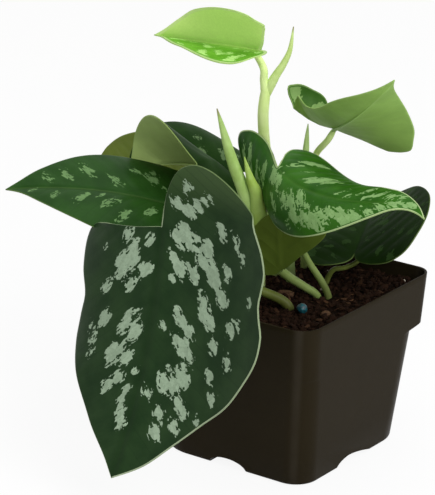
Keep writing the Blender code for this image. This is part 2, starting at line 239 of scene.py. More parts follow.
def loftRings(bm, rings):
    # rings of points, each bridged to the next, closed at both ends
    loops = []
    for points in rings:
        circle = bmesh.ops.create_circle(bm, segments=len(points), radius=1.0)["verts"]
        for vert, point in zip(circle, points):
            vert.co = Vector(point) * mm
        own = set(circle)
        loops.append(list({e for v in circle for e in v.link_edges if all(w in own for w in e.verts)}))
    for lower, upper in zip(loops, loops[1:]):
        bmesh.ops.bridge_loops(bm, edges=lower + upper)
    for loop in (loops[0], loops[-1]):
        bmesh.ops.contextual_create(bm, geom=loop)
    bmesh.ops.recalc_face_normals(bm, faces=bm.faces)


def shellRing(inset, z, radii):
    return roundedSquare(potSide(z) - 2 * inset, np.maximum(radii - inset, 0.6), z, pot["cornerSteps"])


def shellRings(inset, foot, top):
    ledge = pot["earZ"] + inset
    body, ear, rim = (cornerRadii(name) for name in ("bodyCorner", "earCorner", "rimCorner"))
    rings = [roundedSquare(potSide(foot) - 2 * inset - 2 * pot["footBevel"],
                           body - inset - pot["footBevel"], foot, pot["cornerSteps"])]
    for step in (0.3, 0.65, 1.0):  # rounded foot edge
        angle = math.radians(90 * step)
        bevel = pot["footBevel"]
        z = foot + bevel * (1 - math.cos(angle))
        rings.append(roundedSquare(potSide(z) - 2 * inset - 2 * bevel * (1 - math.sin(angle)),
                                   body - inset, z, pot["cornerSteps"]))
    for share in (0.25, 0.5, 0.75, 1.0):
        z = foot + bevel + (ledge - 1.2 - foot - bevel) * share
        rings.append(shellRing(inset, z, body))
    for step in range(7):  # the ledge swings out into the ear
        share = step / 6
        swing = 0.5 - 0.5 * math.cos(math.pi * share)
        rings.append(shellRing(inset, ledge + (pot["earLedge"] + 0.5) * share, body + (ear - body) * swing))
    for share in (0.15, 0.4, 0.7, 0.9, 1.0):
        z = ledge + pot["earLedge"] + 0.5 + (top - ledge - pot["earLedge"] - 0.5) * share
        rings.append(shellRing(inset, z, ear + (rim - ear) * share))
    return rings


def plainObject(name, bm):
    mesh = bpy.data.meshes.new(name)
    bm.to_mesh(mesh)
    bm.free()
    piece = bpy.data.objects.new(name, mesh)
    bpy.context.scene.collection.objects.link(piece)
    return piece


def archCutter(name, margin):
    bm = bmesh.new()
    for side in range(4):
        made = bmesh.ops.create_cone(bm, cap_ends=True, segments=4 * pot["archSteps"],
                                     radius1=1.0, radius2=1.0, depth=2.0 * (pot["archDepth"] + margin))
        turn = math.radians(90 * side)
        for vert in made["verts"]:
            across = vert.co.x * (pot["archWidths"][side] / 2 + margin)
            slope = 1 - pot["archSlopes"][side] * max(0.0, vert.co.x + 0.4)
            up = vert.co.y * (pot["archHeight"] + margin) * slope
            out = pot["baseSide"] / 2 + vert.co.z
            vert.co = Vector((out * math.cos(turn) - across * math.sin(turn),
                              out * math.sin(turn) + across * math.cos(turn), up)) * mm
    bmesh.ops.recalc_face_normals(bm, faces=bm.faces)
    return plainObject(name, bm)


def slotCutter():
    bm = bmesh.new()
    reach = pot["baseSide"] / 2 - pot["slotInset"]
    for side in range(4):
        made = bmesh.ops.create_cone(bm, cap_ends=True, segments=32, radius1=pot["slotRadius"] * mm,
                                     radius2=pot["slotRadius"] * mm, depth=2 * pot["archHeight"] * mm)
        turn = math.radians(90 * side)
        bmesh.ops.translate(bm, verts=made["verts"], vec=(
            reach * mm * math.cos(turn), reach * mm * math.sin(turn), pot["archHeight"] * mm))
    return plainObject("slotCutter", bm)


def cutAway(piece, cutter):
    modifier = piece.modifiers.new("cut", "BOOLEAN")
    modifier.operation = "DIFFERENCE"
    modifier.solver = "EXACT"
    modifier.object = cutter


def potPlastic():
    nodes = Nodes("potPlastic", Roughness=pot["roughness"], Specular_IOR_Level=0.025)
    place = nodes.objectPlace()
    x, y, height = nodes.add("ShaderNodeSeparateXYZ", {"Vector": place}).outputs
    mottle = nodes.noise(place, 0.05, 4.0)
    grain = nodes.noise(place, 1.6, 2.0)
    dust = nodes.noise(place, 0.35, 6.0, 0.7)
    # dust gathers low down
    low = nodes.ramp(height, 22.0, 1.0)
    scuffs = nodes.times(nodes.ramp(dust, 0.5, 0.75), nodes.plus(nodes.times(low, 0.2), 0.06))
    colour = nodes.mix(mottle, pot["colour"], pot["mottleColour"])
    colour = nodes.mix(scuffs, colour, pot["dustColour"])
    # a paler band up each corner is a painted highlight, where the rounded corner reflects the lamps
    offCorner = nodes.minus(nodes.size(x), nodes.size(y))
    worn = nodes.ramp(nodes.size(nodes.minus(offCorner, pot["cornerHighlightMiddle"])), pot["cornerHighlightReach"], 0.5)
    colour = nodes.mix(nodes.times(worn, nodes.ramp(mottle, 0.2, 0.8, 0.2, 0.5)), colour, pot["cornerHighlightColour"])
    roughness = nodes.ramp(dust, 0.3, 0.8, pot["roughness"] - 0.04, pot["roughness"] + 0.1)
    return nodes.paint(colour, roughness, nodes.plus(grain, nodes.times(dust, 0.6)), 0.05)


def weldPoints(piece):
    # the cuts leave doubled points where they meet
    bm = bmesh.new()
    bm.from_mesh(piece.data)
    bmesh.ops.remove_doubles(bm, verts=bm.verts, dist=doubled)
    bm.to_mesh(piece.data)
    bm.free()


def buildPot():
    bm = bmesh.new()
    top = pot["height"]
    rings = shellRings(0, 0, top - pot["lip"])
    rim = cornerRadii("rimCorner")
    rings.append(shellRing(pot["lip"] * 0.3, top - pot["lip"] * 0.3, rim))
    rings.append(shellRing(pot["lip"], top, rim))
    loftRings(bm, rings)
    shell = plainObject("pot", bm)

    bm = bmesh.new()
    wall = pot["wall"]
    rings = shellRings(wall, wall, top - pot["lip"])
    rings.append(shellRing(wall - pot["lip"], top + 0.01, rim))
    rings.append(shellRing(wall - pot["lip"], top + 1, rim))
    loftRings(bm, rings)
    hollow = plainObject("hollow", bm)
    archWalls = archCutter("archWalls", wall)
    cutAway(hollow, archWalls)
    applyModifiers(hollow)
    arches = archCutter("arches", 0)
    slots = slotCutter()
    for cutter in (hollow, arches, slots):
        cutAway(shell, cutter)
    applyModifiers(shell)
    for cutter in (hollow, archWalls, arches, slots):
        bpy.data.objects.remove(cutter, do_unlink=True)
    weldPoints(shell)
    shell.data.materials.clear()
    shell.data.materials.append(potPlastic())
    shell.data.shade_smooth()
    shell.data.set_sharp_from_angle(angle=math.radians(35))
    shell.name = "potShell"
    finishPiece(shell, ["pot"])
    print("pot made")


# potting mix

soil = dict(
    top=79.0, clearance=0.3, columns=130, hills=1.3, lumps=0.9, edgeDip=1.5,
    stalkRoom=2.4, bitMargin=0.8, bitTilt=0.35,  # for the loose bits lying on it
    # heights down the plug's side, each with the corner that the pot has there
    levels=((70.0, "rimCorner"), (60.0, "earCorner"), (56.0, "bodyCorner"), (20.0, "bodyCorner"),
            (7.7, "bodyCorner")),
    dark=rgb(19, 12, 8), damp=rgb(33, 21, 14), brown=rgb(50, 33, 23), seed=11,
)
# loose bits: how many, least and greatest size, spans of the three half axes as shares of the size,
# how deep they sink and how lumpy they are
scattered = {
    "soilCrumbs": dict(
        count=2200, sizes=(0.5, 2.0), shape=((0.7, 1.3), (0.7, 1.2), (0.5, 0.9)), sink=0.3, lumps=0.22,
        colours=(soil["dark"], rgb(44, 28, 19)), roughness=0.95, depth=0.4, slot="soil", seed=21),
    "barkBits": dict(
        count=70, sizes=(1.2, 3.6), shape=((0.8, 1.3), (0.3, 0.6), (0.15, 0.3)), sink=0.2, lumps=0.2,
        colours=(rgb(34, 22, 15), rgb(86, 60, 42)), roughness=0.85, depth=0.4, slot="bark", seed=22),
    "perliteBits": dict(
        count=6, sizes=(0.6, 1.3), shape=((0.8, 1.1), (0.7, 1.0), (0.6, 0.9)), sink=0.3, lumps=0.15,
        colours=(rgb(112, 102, 90), rgb(176, 166, 152)), roughness=0.9, depth=0.3, slot="soil", seed=23),
}
fibres = dict(count=60, length=(4.0, 11.0), radius=(0.12, 0.3), bend=1.2, joints=6, sides=5, margin=3.0,
              seed=16)
bead = dict(place=(26.7, -20.3), radius=2.6, colour=rgb(6, 52, 60), speckColour=rgb(12, 88, 98))
chipColours = (rgb(44, 30, 21), rgb(104, 78, 58))
chips = dict(
    chipLong=dict(node="bark_chip_long", place=(6.0, -5.0), size=(8.0, 4.5, 3.0), turn=25),
    chipFlat=dict(node="bark_chip_flat", place=(2.0, -11.0), size=(6.0, 4.0, 2.0), turn=-30),
    chipSmall=dict(node="bark_chip_small", place=(36.0, -14.0), size=(5.0, 4.0, 2.4), turn=60),
)


def soilHeight(x, y):
    # rolling ground with lumps on it, a little lower along the pot's wall
    place = Vector((x, y, soil["seed"]))
    hills = noise.noise(place * 0.045) * soil["hills"]
    lumps = noise.fractal(place * 0.28, 1.0, 2.1, 4) * soil["lumps"]
    reach = potSide(soil["top"]) / 2 - pot["wall"] - max(abs(x), abs(y))
    dip = math.exp(-max(reach, 0) / 2.5) * soil["edgeDip"]
    return soil["top"] + hills + lumps - dip


def soilMix():
    nodes = Nodes("pottingMix", Roughness=0.95, Specular_IOR_Level=0.03)
    place = nodes.objectPlace()
    blotch = nodes.noise(place, 0.16, 3.0)
    crumb = nodes.noise(place, 0.9, 5.0, 0.7)
    fibre = nodes.noise(place, 2.4, 4.0, 0.65)
    colour = nodes.mix(nodes.ramp(blotch, 0.35, 0.7), soil["dark"], soil["damp"])
    colour = nodes.mix(nodes.ramp(crumb, 0.52, 0.72), colour, soil["brown"])
    return nodes.paint(colour, None, nodes.plus(crumb, nodes.times(fibre, 0.5)), 0.9)


def bitsMaterial(name, colours, roughness, depth):
    # each bit has its own tone between the dark and the pale colour
    nodes = Nodes(name, Roughness=roughness, Specular_IOR_Level=0.05)
    place = nodes.objectPlace()
    tone = nodes.attribute("tone")
    grain = nodes.noise(place, 1.1, 5.0, 0.65)
    colour = nodes.mix(nodes.times(nodes.plus(tone, grain), 0.6), *colours)
    return nodes.paint(colour, None, grain, depth)


def cornerAt(x, y, name):
    return pot["near"][name] if x > 0 > y else pot[name]


def buildSoil():
    count = soil["columns"]
    inset = pot["wall"] + soil["clearance"]
    bm = bmesh.new()
    bmesh.ops.create_grid(bm, x_segments=count, y_segments=count, size=1.0)
    outline = potSide(soil["top"]) - 2 * inset
    for vert in bm.verts:
        u, v = vert.co.x, vert.co.y
        corner = cornerAt(u, v, "rimCorner") - inset
        # square grid drawn into the pot's rounded outline
        span = max(abs(u), abs(v)) * outline / 2
        radius = corner * max(abs(u), abs(v))
        x, y = u * outline / 2, v * outline / 2
        overX, overY = abs(x) - (span - radius), abs(y) - (span - radius)
        if overX > 0 and overY > 0 and radius > 0:
            longest = max(overX, overY) / math.hypot(overX, overY)
            x -= math.copysign(overX * (1 - longest), x)
            y -= math.copysign(overY * (1 - longest), y)
        vert.co = Vector((x, y, soilHeight(x, y))) * mm
    # the side of the plug follows the inside of the pot down to its floor
    rim = [e for e in bm.edges if e.is_boundary]
    for z, name in soil["levels"]:
        made = bmesh.ops.extrude_edge_only(bm, edges=rim)["geom"]
        lower = [g for g in made if isinstance(g, bmesh.types.BMVert)]
        rim = [g for g in made if isinstance(g, bmesh.types.BMEdge) and g.is_boundary]
        half = potSide(z) / 2 - inset
        for vert in lower:
            x, y = vert.co.x / mm, vert.co.y / mm
            across = half / max(abs(x), abs(y))
            x, y = x * across, y * across
            radius = cornerAt(x, y, name)
            reach = half - (radius - inset)
            overX, overY = abs(x) - reach, abs(y) - reach
            if overX > 0 and overY > 0:
                shrink = (radius - inset) / math.hypot(overX, overY)
                x = math.copysign(reach + overX * min(shrink, 1), x)
                y = math.copysign(reach + overY * min(shrink, 1), y)
            vert.co = Vector((x, y, z)) * mm
    bmesh.ops.contextual_create(bm, geom=rim)
    bmesh.ops.recalc_face_normals(bm, faces=bm.faces)
    addPiece("pottingMix", bm, [soilMix()], ["soil"], smoothAngle=60)
    print("soil made")


def freeOfStalks(x, y, room):
    return all(math.hypot(x - px, y - py) > room for px, py in rootPlaces)


def scatterBits(name, bits, material):
    # small irregular lumps lying on the soil, each an icosphere pulled out of shape
    dice = random.Random(bits["seed"])
    bm = bmesh.new()
    tones = []
    least, most = bits["sizes"]
    half = potSide(soil["top"]) / 2 - pot["wall"] - most - soil["bitMargin"]
    placed = 0
    while placed < bits["count"]:
        x, y = dice.uniform(-half, half), dice.uniform(-half, half)
        size = least + (most - least) * dice.random() ** 2
        shape = [size * dice.uniform(*span) for span in bits["shape"]]
        if not freeOfStalks(x, y, soil["stalkRoom"] + max(shape)):
            continue
        placed += 1
        made = bmesh.ops.create_icosphere(bm, subdivisions=1, radius=1.0)["verts"]
        for vert in made:
            vert.co *= 1 + dice.uniform(-bits["lumps"], bits["lumps"])
            vert.co = Vector(c * s for c, s in zip(vert.co, shape))
        turn = Matrix.Rotation(dice.uniform(0, 2 * math.pi), 3, "Z")
        for axis in "XY":
            turn = turn @ Matrix.Rotation(dice.gauss(0, soil["bitTilt"]), 3, axis)
        bmesh.ops.rotate(bm, verts=made, cent=(0, 0, 0), matrix=turn)
        z = soilHeight(x, y) + shape[2] * (1 - 2 * bits["sink"])
        for vert in made:
            vert.co = (vert.co + Vector((x, y, z))) * mm
        tones.extend([dice.random()] * len(made))
    piece = addPiece(name, bm, [material], smoothAngle=25)
    setAttribute(piece.data, "tone", tones)


def buildFibres(material):
    # bent fibres lying over the lumps
    dice = random.Random(fibres["seed"])
    bm = bmesh.new()
    tones = []
    joints = fibres["joints"]
    half = potSide(soil["top"]) / 2 - pot["wall"] - fibres["margin"]
    for _ in range(fibres["count"]):
        x, y = dice.uniform(-half, half), dice.uniform(-half, half)
        turn = dice.uniform(0, 2 * math.pi)
        length = dice.uniform(*fibres["length"])
        radius = dice.uniform(*fibres["radius"])
        bend = dice.uniform(-fibres["bend"], fibres["bend"])
        way = []
        for joint in range(joints):
            x += math.cos(turn) * length / joints
            y += math.sin(turn) * length / joints
            turn += bend / joints
            x, y = max(-half, min(half, x)), max(-half, min(half, y))
            way.append((x, y, soilHeight(x, y) + 0.5 * math.sin(joint) + radius))
        before = len(bm.verts)
        sweepTube(bm, way, lambda share: radius * (1 - 0.6 * abs(2 * share - 1) ** 3), fibres["sides"])
        tones.extend([dice.random()] * (len(bm.verts) - before))
    piece = addPiece("rootFibres", bm, [material])
    setAttribute(piece.data, "tone", tones)


def buildChips():
    material = bitsMaterial("barkChips", chipColours, 0.85, 0.4)
    for name, chip in chips.items():
        dice = random.Random(name)
        bm = bmesh.new()
        bmesh.ops.create_cube(bm, size=1.0)
        bmesh.ops.subdivide_edges(bm, edges=bm.edges, cuts=5, use_grid_fill=True)
        length, width, height = chip["size"]
        drift = Vector((dice.uniform(0, 50), dice.uniform(0, 50), dice.uniform(0, 50)))
        for vert in bm.verts:
            # worn ends and edges, one end narrower, the top smaller
            x, y, z = vert.co
            worn = 1 - 0.28 * (x * 2) ** 4 - 0.1 * (y * 2) ** 4
            narrow = 0.8 + 0.4 * x
            top = 0.8 if z > 0.2 else 1.0
            spot = Vector((x * length * top, y * width * narrow * worn * top, z * height * worn))
            # torn grain runs along the chip
            spot += noise.noise_vector(Vector((spot.x * 0.25, spot.y * 1.3, spot.z * 1.3)) + drift) * 0.45
            vert.co = spot
        turn = Matrix.Rotation(math.radians(chip["turn"]), 3, "Z")
        bmesh.ops.rotate(bm, verts=bm.verts, cent=(0, 0, 0), matrix=turn)
        x, y = chip["place"]
        for vert in bm.verts:
            vert.co = (vert.co + Vector((x, y, soilHeight(x, y) + height * 0.4))) * mm
        piece = addPiece(name, bm, [material], [chip["node"]], smoothAngle=30)
        setAttribute(piece.data, "tone", [0.55] * len(piece.data.vertices))


def buildBead():
    nodes = Nodes("beadCoating", Roughness=0.45)
    place = nodes.objectPlace()
    speck = nodes.noise(place, 0.9, 3.0)
    colour = nodes.mix(nodes.ramp(speck, 0.4, 0.7), bead["colour"], bead["speckColour"])
    material = nodes.paint(colour, None, speck, 0.15)
    bm = bmesh.new()
    bmesh.ops.create_icosphere(bm, subdivisions=4, radius=bead["radius"])
    x, y = bead["place"]
    for vert in bm.verts:
        vert.co *= 1 + 0.05 * noise.noise(vert.co * 0.5)
        vert.co = (vert.co + Vector((x, y, soil["top"] + bead["radius"] - 0.1))) * mm
    addPiece("fertiliserBead", bm, [material], ["fertiliser_bead"])


def buildLitter():
    materials = {}
    for name, bits in scattered.items():
        materials[name] = bitsMaterial(name, bits["colours"], bits["roughness"], bits["depth"])
        scatterBits(name, bits, materials[name])
    buildFibres(materials["barkBits"])
    buildChips()
    buildBead()
    print("litter made")


# leaves

leafShape = dict(
    thickness=0.6, rows=96, columns=72, marginSteps=8,
    crowding=1.6,  # above 1, a blade's rows crowd towards its joint
    veinSpacing=8.5, veinSlope=0.85, veinBend=0.004,  # side veins lean forward and bend back
    quilting=0.16, veinDepth=0.12, midribDepth=0.5, midribReach=1.4,
)
# one half of a heart-shaped blade, from the joint round the lobe to the tip:
# along the midrib as a share of the length, across it as a share of the half's width
heart = [
    (0.0, 0.0), (-0.09, 0.03), (-0.175, 0.13), (-0.225, 0.33), (-0.21, 0.60), (-0.09, 0.86),
    (0.12, 1.0), (0.36, 0.96), (0.58, 0.76), (0.78, 0.44), (0.92, 0.14), (1.0, 0.0),
]
plainHalf = dict(fold=0, cup=0, curl=0, dip=0, lobe=1.0, lift=0, edge=1.0, outline=None)
plainBlade = dict(bend=0, sweep=0, twist=0, droop=0, waves=(3.0, 0.5), clusters=())

# joint with the stalk, heading and pitch of the midrib there, roll about it, then how the midrib
# bends up, sweeps sideways and twists by the tip, and each half's own shape; each silver cluster is
# its place along the midrib as a share of the length, its distance to the left of it and its radius
leaves = {
    "leaf_front": dict(
        joint=(-25, -63, 124.5), heading=-62, pitch=-65, roll=14, length=121.5,
        bend=10, sweep=-27, twist=-30,
        left=dict(width=69, curl=45, lift=34, outline=[
            (0, 0), (-0.13, 0.03), (-0.25, 0.13), (-0.32, 0.33), (-0.30, 0.60), (-0.15, 0.79), (0, 0.83),
            (0.05, 0.90), (0.115, 1.0), (0.185, 1.05), (0.24, 1.01), (0.29, 0.965), (0.345, 0.985),
            (0.41, 1.04), (0.49, 1.025), (0.576, 0.92), (0.65, 0.79), (0.73, 0.56), (0.83, 0.36),
            (0.92, 0.2), (1, 0)]),
        right=dict(width=54, fold=-7, curl=-36, lift=-25, edge=0.3, outline=[
            (0, 0), (0.0, 0.1), (0.0, 0.3), (-0.01, 0.5), (-0.03, 0.7), (-0.035, 0.89), (0.04, 1.0),
            (0.15, 0.97), (0.27, 0.87), (0.36, 0.91), (0.46, 0.91), (0.58, 0.78), (0.78, 0.45),
            (0.92, 0.15), (1, 0)]),
        waves=(4.5, 0.9), look="dark", clusters=[
            (-0.19, 14, 1.2), (-0.16, 13, 1.4), (-0.15, 26, 1.9), (-0.13, 23, 1.5), (-0.10, 8, 2.6),
            (-0.07, 14, 3.2), (-0.10, 19, 2.2), (0, 34, 2.2), (0.03, 35, 2), (0.02, 13, 3.3),
            (0.04, 9, 2.5), (0.07, 15, 2), (0.05, 19, 1.7), (0.09, 26, 3.2), (0.13, 24, 3), (0.12, 8, 2.3),
            (0.16, 12, 3), (0.17, 18, 2.1), (0.17, 30, 3), (0.20, 34, 3), (0.17, 40, 2.2), (0.04, 43, 1),
            (0.06, 45, 1.1), (0.13, 51, 1.9), (0.20, 8, 1), (0.19, 20, 1.3), (0.28, 27, 2.4),
            (0.27, 39, 3.1), (0.32, 28, 2.6), (0.35, 32, 2.5), (0.28, 58, 1.1), (0.33, 13, 2),
            (0.36, 16, 2.5), (0.40, 21, 2.5), (0.38, 6, 1.3), (0.43, 15, 2.3), (0.46, 19, 3),
            (0.49, 23, 2.2), (0.44, 36, 2.6), (0.38, 47, 2.3), (0.37, 52, 1.5), (0.50, 48, 2.1),
            (0.55, 14, 1), (0.56, 38, 2), (0.57, 22, 3.3), (0.60, 18, 2.2), (0.60, 13, 3), (0.65, 5, 1.5),
            (0.66, 22, 2.6), (0.69, 26, 2.5), (0.63, 42, 1.5), (0.72, 14, 2.3), (0.75, 23, 2.3),
            (0.79, 14, 2.8), (0.72, 36, 1), (0.03, -19, 2.3), (0.07, -34, 1.1), (0.09, -15, 2.5),
            (0.05, -6, 1.5), (0.14, -22, 3), (0.13, -18, 2.5), (0.13, -14, 3), (0.18, -7, 2.7),
            (0.18, -21, 2.5), (0.23, -15, 2.2), (0.24, -30, 2.4), (0.37, -28, 2.7), (0.37, -13, 2.7),
            (0.42, -8, 3), (0.40, -15, 2.2), (0.35, -8, 1), (0.40, -36, 1), (0.46, -34, 1.8),
            (0.52, -33, 1.2), (0.50, -19, 2.7), (0.53, -10, 2.7), (0.49, -14, 2), (0.54, -18, 2),
            (0.57, -3, 1.2), (0.61, -12, 2.6), (0.64, -17, 2.5), (0.65, -6, 1.3), (0.69, -7, 1.1),
            (0.73, -6, 1.3), (0.77, -5, 1), (0.80, -4, 1.5)]),
    "leaf_left": dict(
        joint=(-58.5, -11, 113.5), heading=219, pitch=18, roll=-10, length=83, bend=-23,
        left=dict(width=34, fold=10, curl=-43),
        right=dict(width=34, fold=18, curl=-27), look="left", clusters=[
            (0.52, -14, 2.4), (0.64, -10, 2), (0.36, -9, 1.9), (0.32, -8, 1.3), (0.24, -19, 1.3),
            (0.14, -15, 2.3), (0.12, -20, 0.9), (0.07, -10, 0.9), (0.55, 10, 2.2), (0.43, 6, 1),
            (0.39, 12, 2.2), (0.35, 11, 1.7), (0.29, 20, 2.2), (0.13, 13, 2), (0.75, -7, 1.4),
            (0.70, 8, 1.2), (0.84, 3, 1)]),
    "leaf_cupped": dict(
        joint=(-48, 20, 125), heading=189, pitch=10, roll=-4, length=56, bend=-36, sweep=7,
        left=dict(width=43, fold=44, cup=61, curl=-34, lobe=1.3, lift=-10, dip=58),
        right=dict(width=41, fold=20, cup=48, curl=-80, outline=[
            (0, 0), (-0.08, 0.03), (-0.16, 0.12), (-0.20, 0.28), (-0.17, 0.46), (-0.04, 0.60),
            (0.16, 0.71), (0.40, 0.82), (0.60, 0.90), (0.76, 0.74), (0.90, 0.36), (1, 0)]),
        look="cupped", clusters=[
            (0.30, -8, 1.8), (0.15, -13, 2), (0.12, -9, 1.4), (0.05, -15, 2), (0.42, -19, 1.5),
            (0.60, -14, 1.6), (0.20, 12, 2.2), (0.45, 18, 2.4), (0.60, 10, 2), (0.30, 24, 2)]),
    "leaf_back_left": dict(
        joint=(-76, 38, 100), heading=177, pitch=11, roll=59, length=76, bend=-20,
        left=dict(width=33, fold=12, curl=-6),
        right=dict(width=26, fold=10, curl=-10), look="back"),
    "leaf_upper_right": dict(
        joint=(6, 35, 154), heading=-48, pitch=19, roll=-33, length=88,
        bend=25, sweep=30, twist=35,
        left=dict(width=34, fold=12, curl=-6, outline=[
            (0, 0), (-0.05, 0.05), (-0.10, 0.20), (-0.12, 0.40), (-0.09, 0.60), (-0.03, 0.78),
            (0.02, 0.92), (0.06, 1.04), (0.12, 1.12), (0.23, 1.07), (0.34, 1.0), (0.52, 0.77),
            (0.72, 0.44), (0.88, 0.17), (1, 0)]),
        right=dict(width=33, fold=-25, cup=35, curl=90, dip=20, lift=78, outline=[
            (0, 0), (-0.10, 0.01), (-0.20, 0.02), (-0.245, 0.05), (-0.275, 0.12), (-0.30, 0.25),
            (-0.33, 0.42), (-0.34, 0.56), (-0.34, 0.66), (-0.30, 0.66), (-0.22, 0.61), (-0.14, 0.66),
            (-0.06, 0.76), (0.04, 0.76), (0.2, 0.58), (0.36, 0.49), (0.53, 0.46), (0.66, 0.39),
            (0.8, 0.25), (0.92, 0.1), (1, 0)]), look="pale"),
    "leaf_right": dict(
        joint=(5, -11, 146), heading=-38, pitch=-6, roll=31, length=99,
        bend=20, sweep=62, twist=-9, droop=-63,
        left=dict(width=26, fold=-5, cup=4, curl=-48, lift=-10, outline=[
            (0, 0), (-0.015, 0.07), (-0.05, 0.16), (-0.10, 0.30), (-0.13, 0.50), (-0.09, 0.76),
            (0.08, 0.97), (0.34, 0.97), (0.58, 0.76), (0.78, 0.46), (0.93, 0.20), (1, 0)]),
        right=dict(width=25, fold=-13, cup=48, curl=-75, lift=9, outline=[
            (0, 0), (-0.06, -0.03), (-0.14, -0.07), (-0.22, -0.08), (-0.29, -0.03), (-0.36, 0.08),
            (-0.41, 0.24), (-0.445, 0.42), (-0.45, 0.58), (-0.43, 0.72), (-0.37, 0.86), (-0.25, 0.96),
            (-0.08, 1.02), (0.12, 1.02), (0.36, 0.97), (0.58, 0.76), (0.78, 0.44), (0.92, 0.14), (1, 0)]),
        look="bright", clusters=[
            (0.07, 15, 2.6), (0.12, 18, 2.2), (0.06, 8, 1.6), (0.17, 9, 1.3), (0.26, 8, 2), (0.31, 9, 3),
            (0.38, 10, 2.4), (0.52, 5, 1.6), (0.58, 3, 1.4), (0.62, 6, 1.5), (0.68, 4, 1.5),
            (0.74, 6, 1.7), (0.80, 4, 1.7), (0.86, 5, 2), (0.92, 3, 2), (0.66, 10, 1.6), (0.02, -4, 3),
            (0.10, -4, 2.7), (-0.07, -8, 2.6), (-0.14, -11, 2.4), (0.12, -12, 1.6), (0.16, -14, 1.6),
            (-0.06, -14, 1.9), (-0.20, -16, 2.3), (-0.28, -10, 2.4), (-0.33, -15, 2.6), (-0.26, -19, 2),
            (0.22, -9, 2.6), (0.28, -9, 3), (0.33, -5, 2.4), (0.32, -13, 2.8), (0.36, -15, 2.6),
            (0.41, -14, 2.2), (0.47, -14, 3.2), (0.51, -12, 2.4), (0.56, -10, 2.5), (0.53, -17, 1.4),
            (0.61, -9, 1.6), (0.64, -14, 3), (0.69, -12, 3), (0.74, -9, 2.4), (0.79, -6, 2.4),
            (0.84, -4, 2.2), (0.88, -2, 2), (0.30, -19, 1.2), (0.38, -8, 1.2), (0.18, -18, 1.1)]),
    "leaf_low_right": dict(
        joint=(28, 22, 97), heading=112, pitch=18, roll=-8, length=69, bend=-27, twist=-13,
        left=dict(width=28, fold=10, curl=-18, lobe=0.7, lift=15),
        right=dict(width=40, fold=12, curl=16, lobe=0.55, lift=-36), look="shaded"),
    "leaf_inner": dict(
        joint=(6.5, -10, 93.5), heading=283, pitch=84, roll=0, length=34,
        left=dict(width=26, fold=-6, outline=[
            (0, 0), (0.02, 0.08), (0.12, 0.22), (0.30, 0.46), (0.50, 0.76), (0.68, 0.96), (0.84, 1.0),
            (0.97, 0.80), (1.02, 0.4), (1, 0)]),
        right=dict(width=19, fold=-8, lobe=0.4), waves=(2.0, 0.2), look="inner"),
    "leaf_top": dict(
        joint=(-16, 4, 197), heading=179, pitch=-4, roll=-29, length=61, bend=5, sweep=12, twist=16,
        left=dict(width=26, fold=28, curl=-2, lobe=0.59, lift=22),
        right=dict(width=24, fold=58, curl=62, lift=19, outline=[
            (0, 0), (-0.03, 0.13), (-0.06, 0.29), (-0.105, 0.45), (-0.145, 0.56), (-0.125, 0.64),
            (-0.07, 0.75), (0.02, 0.92), (0.14, 1.0), (0.36, 0.97), (0.58, 0.76), (0.78, 0.42),
            (0.92, 0.14), (1, 0)]), look="young"),
}

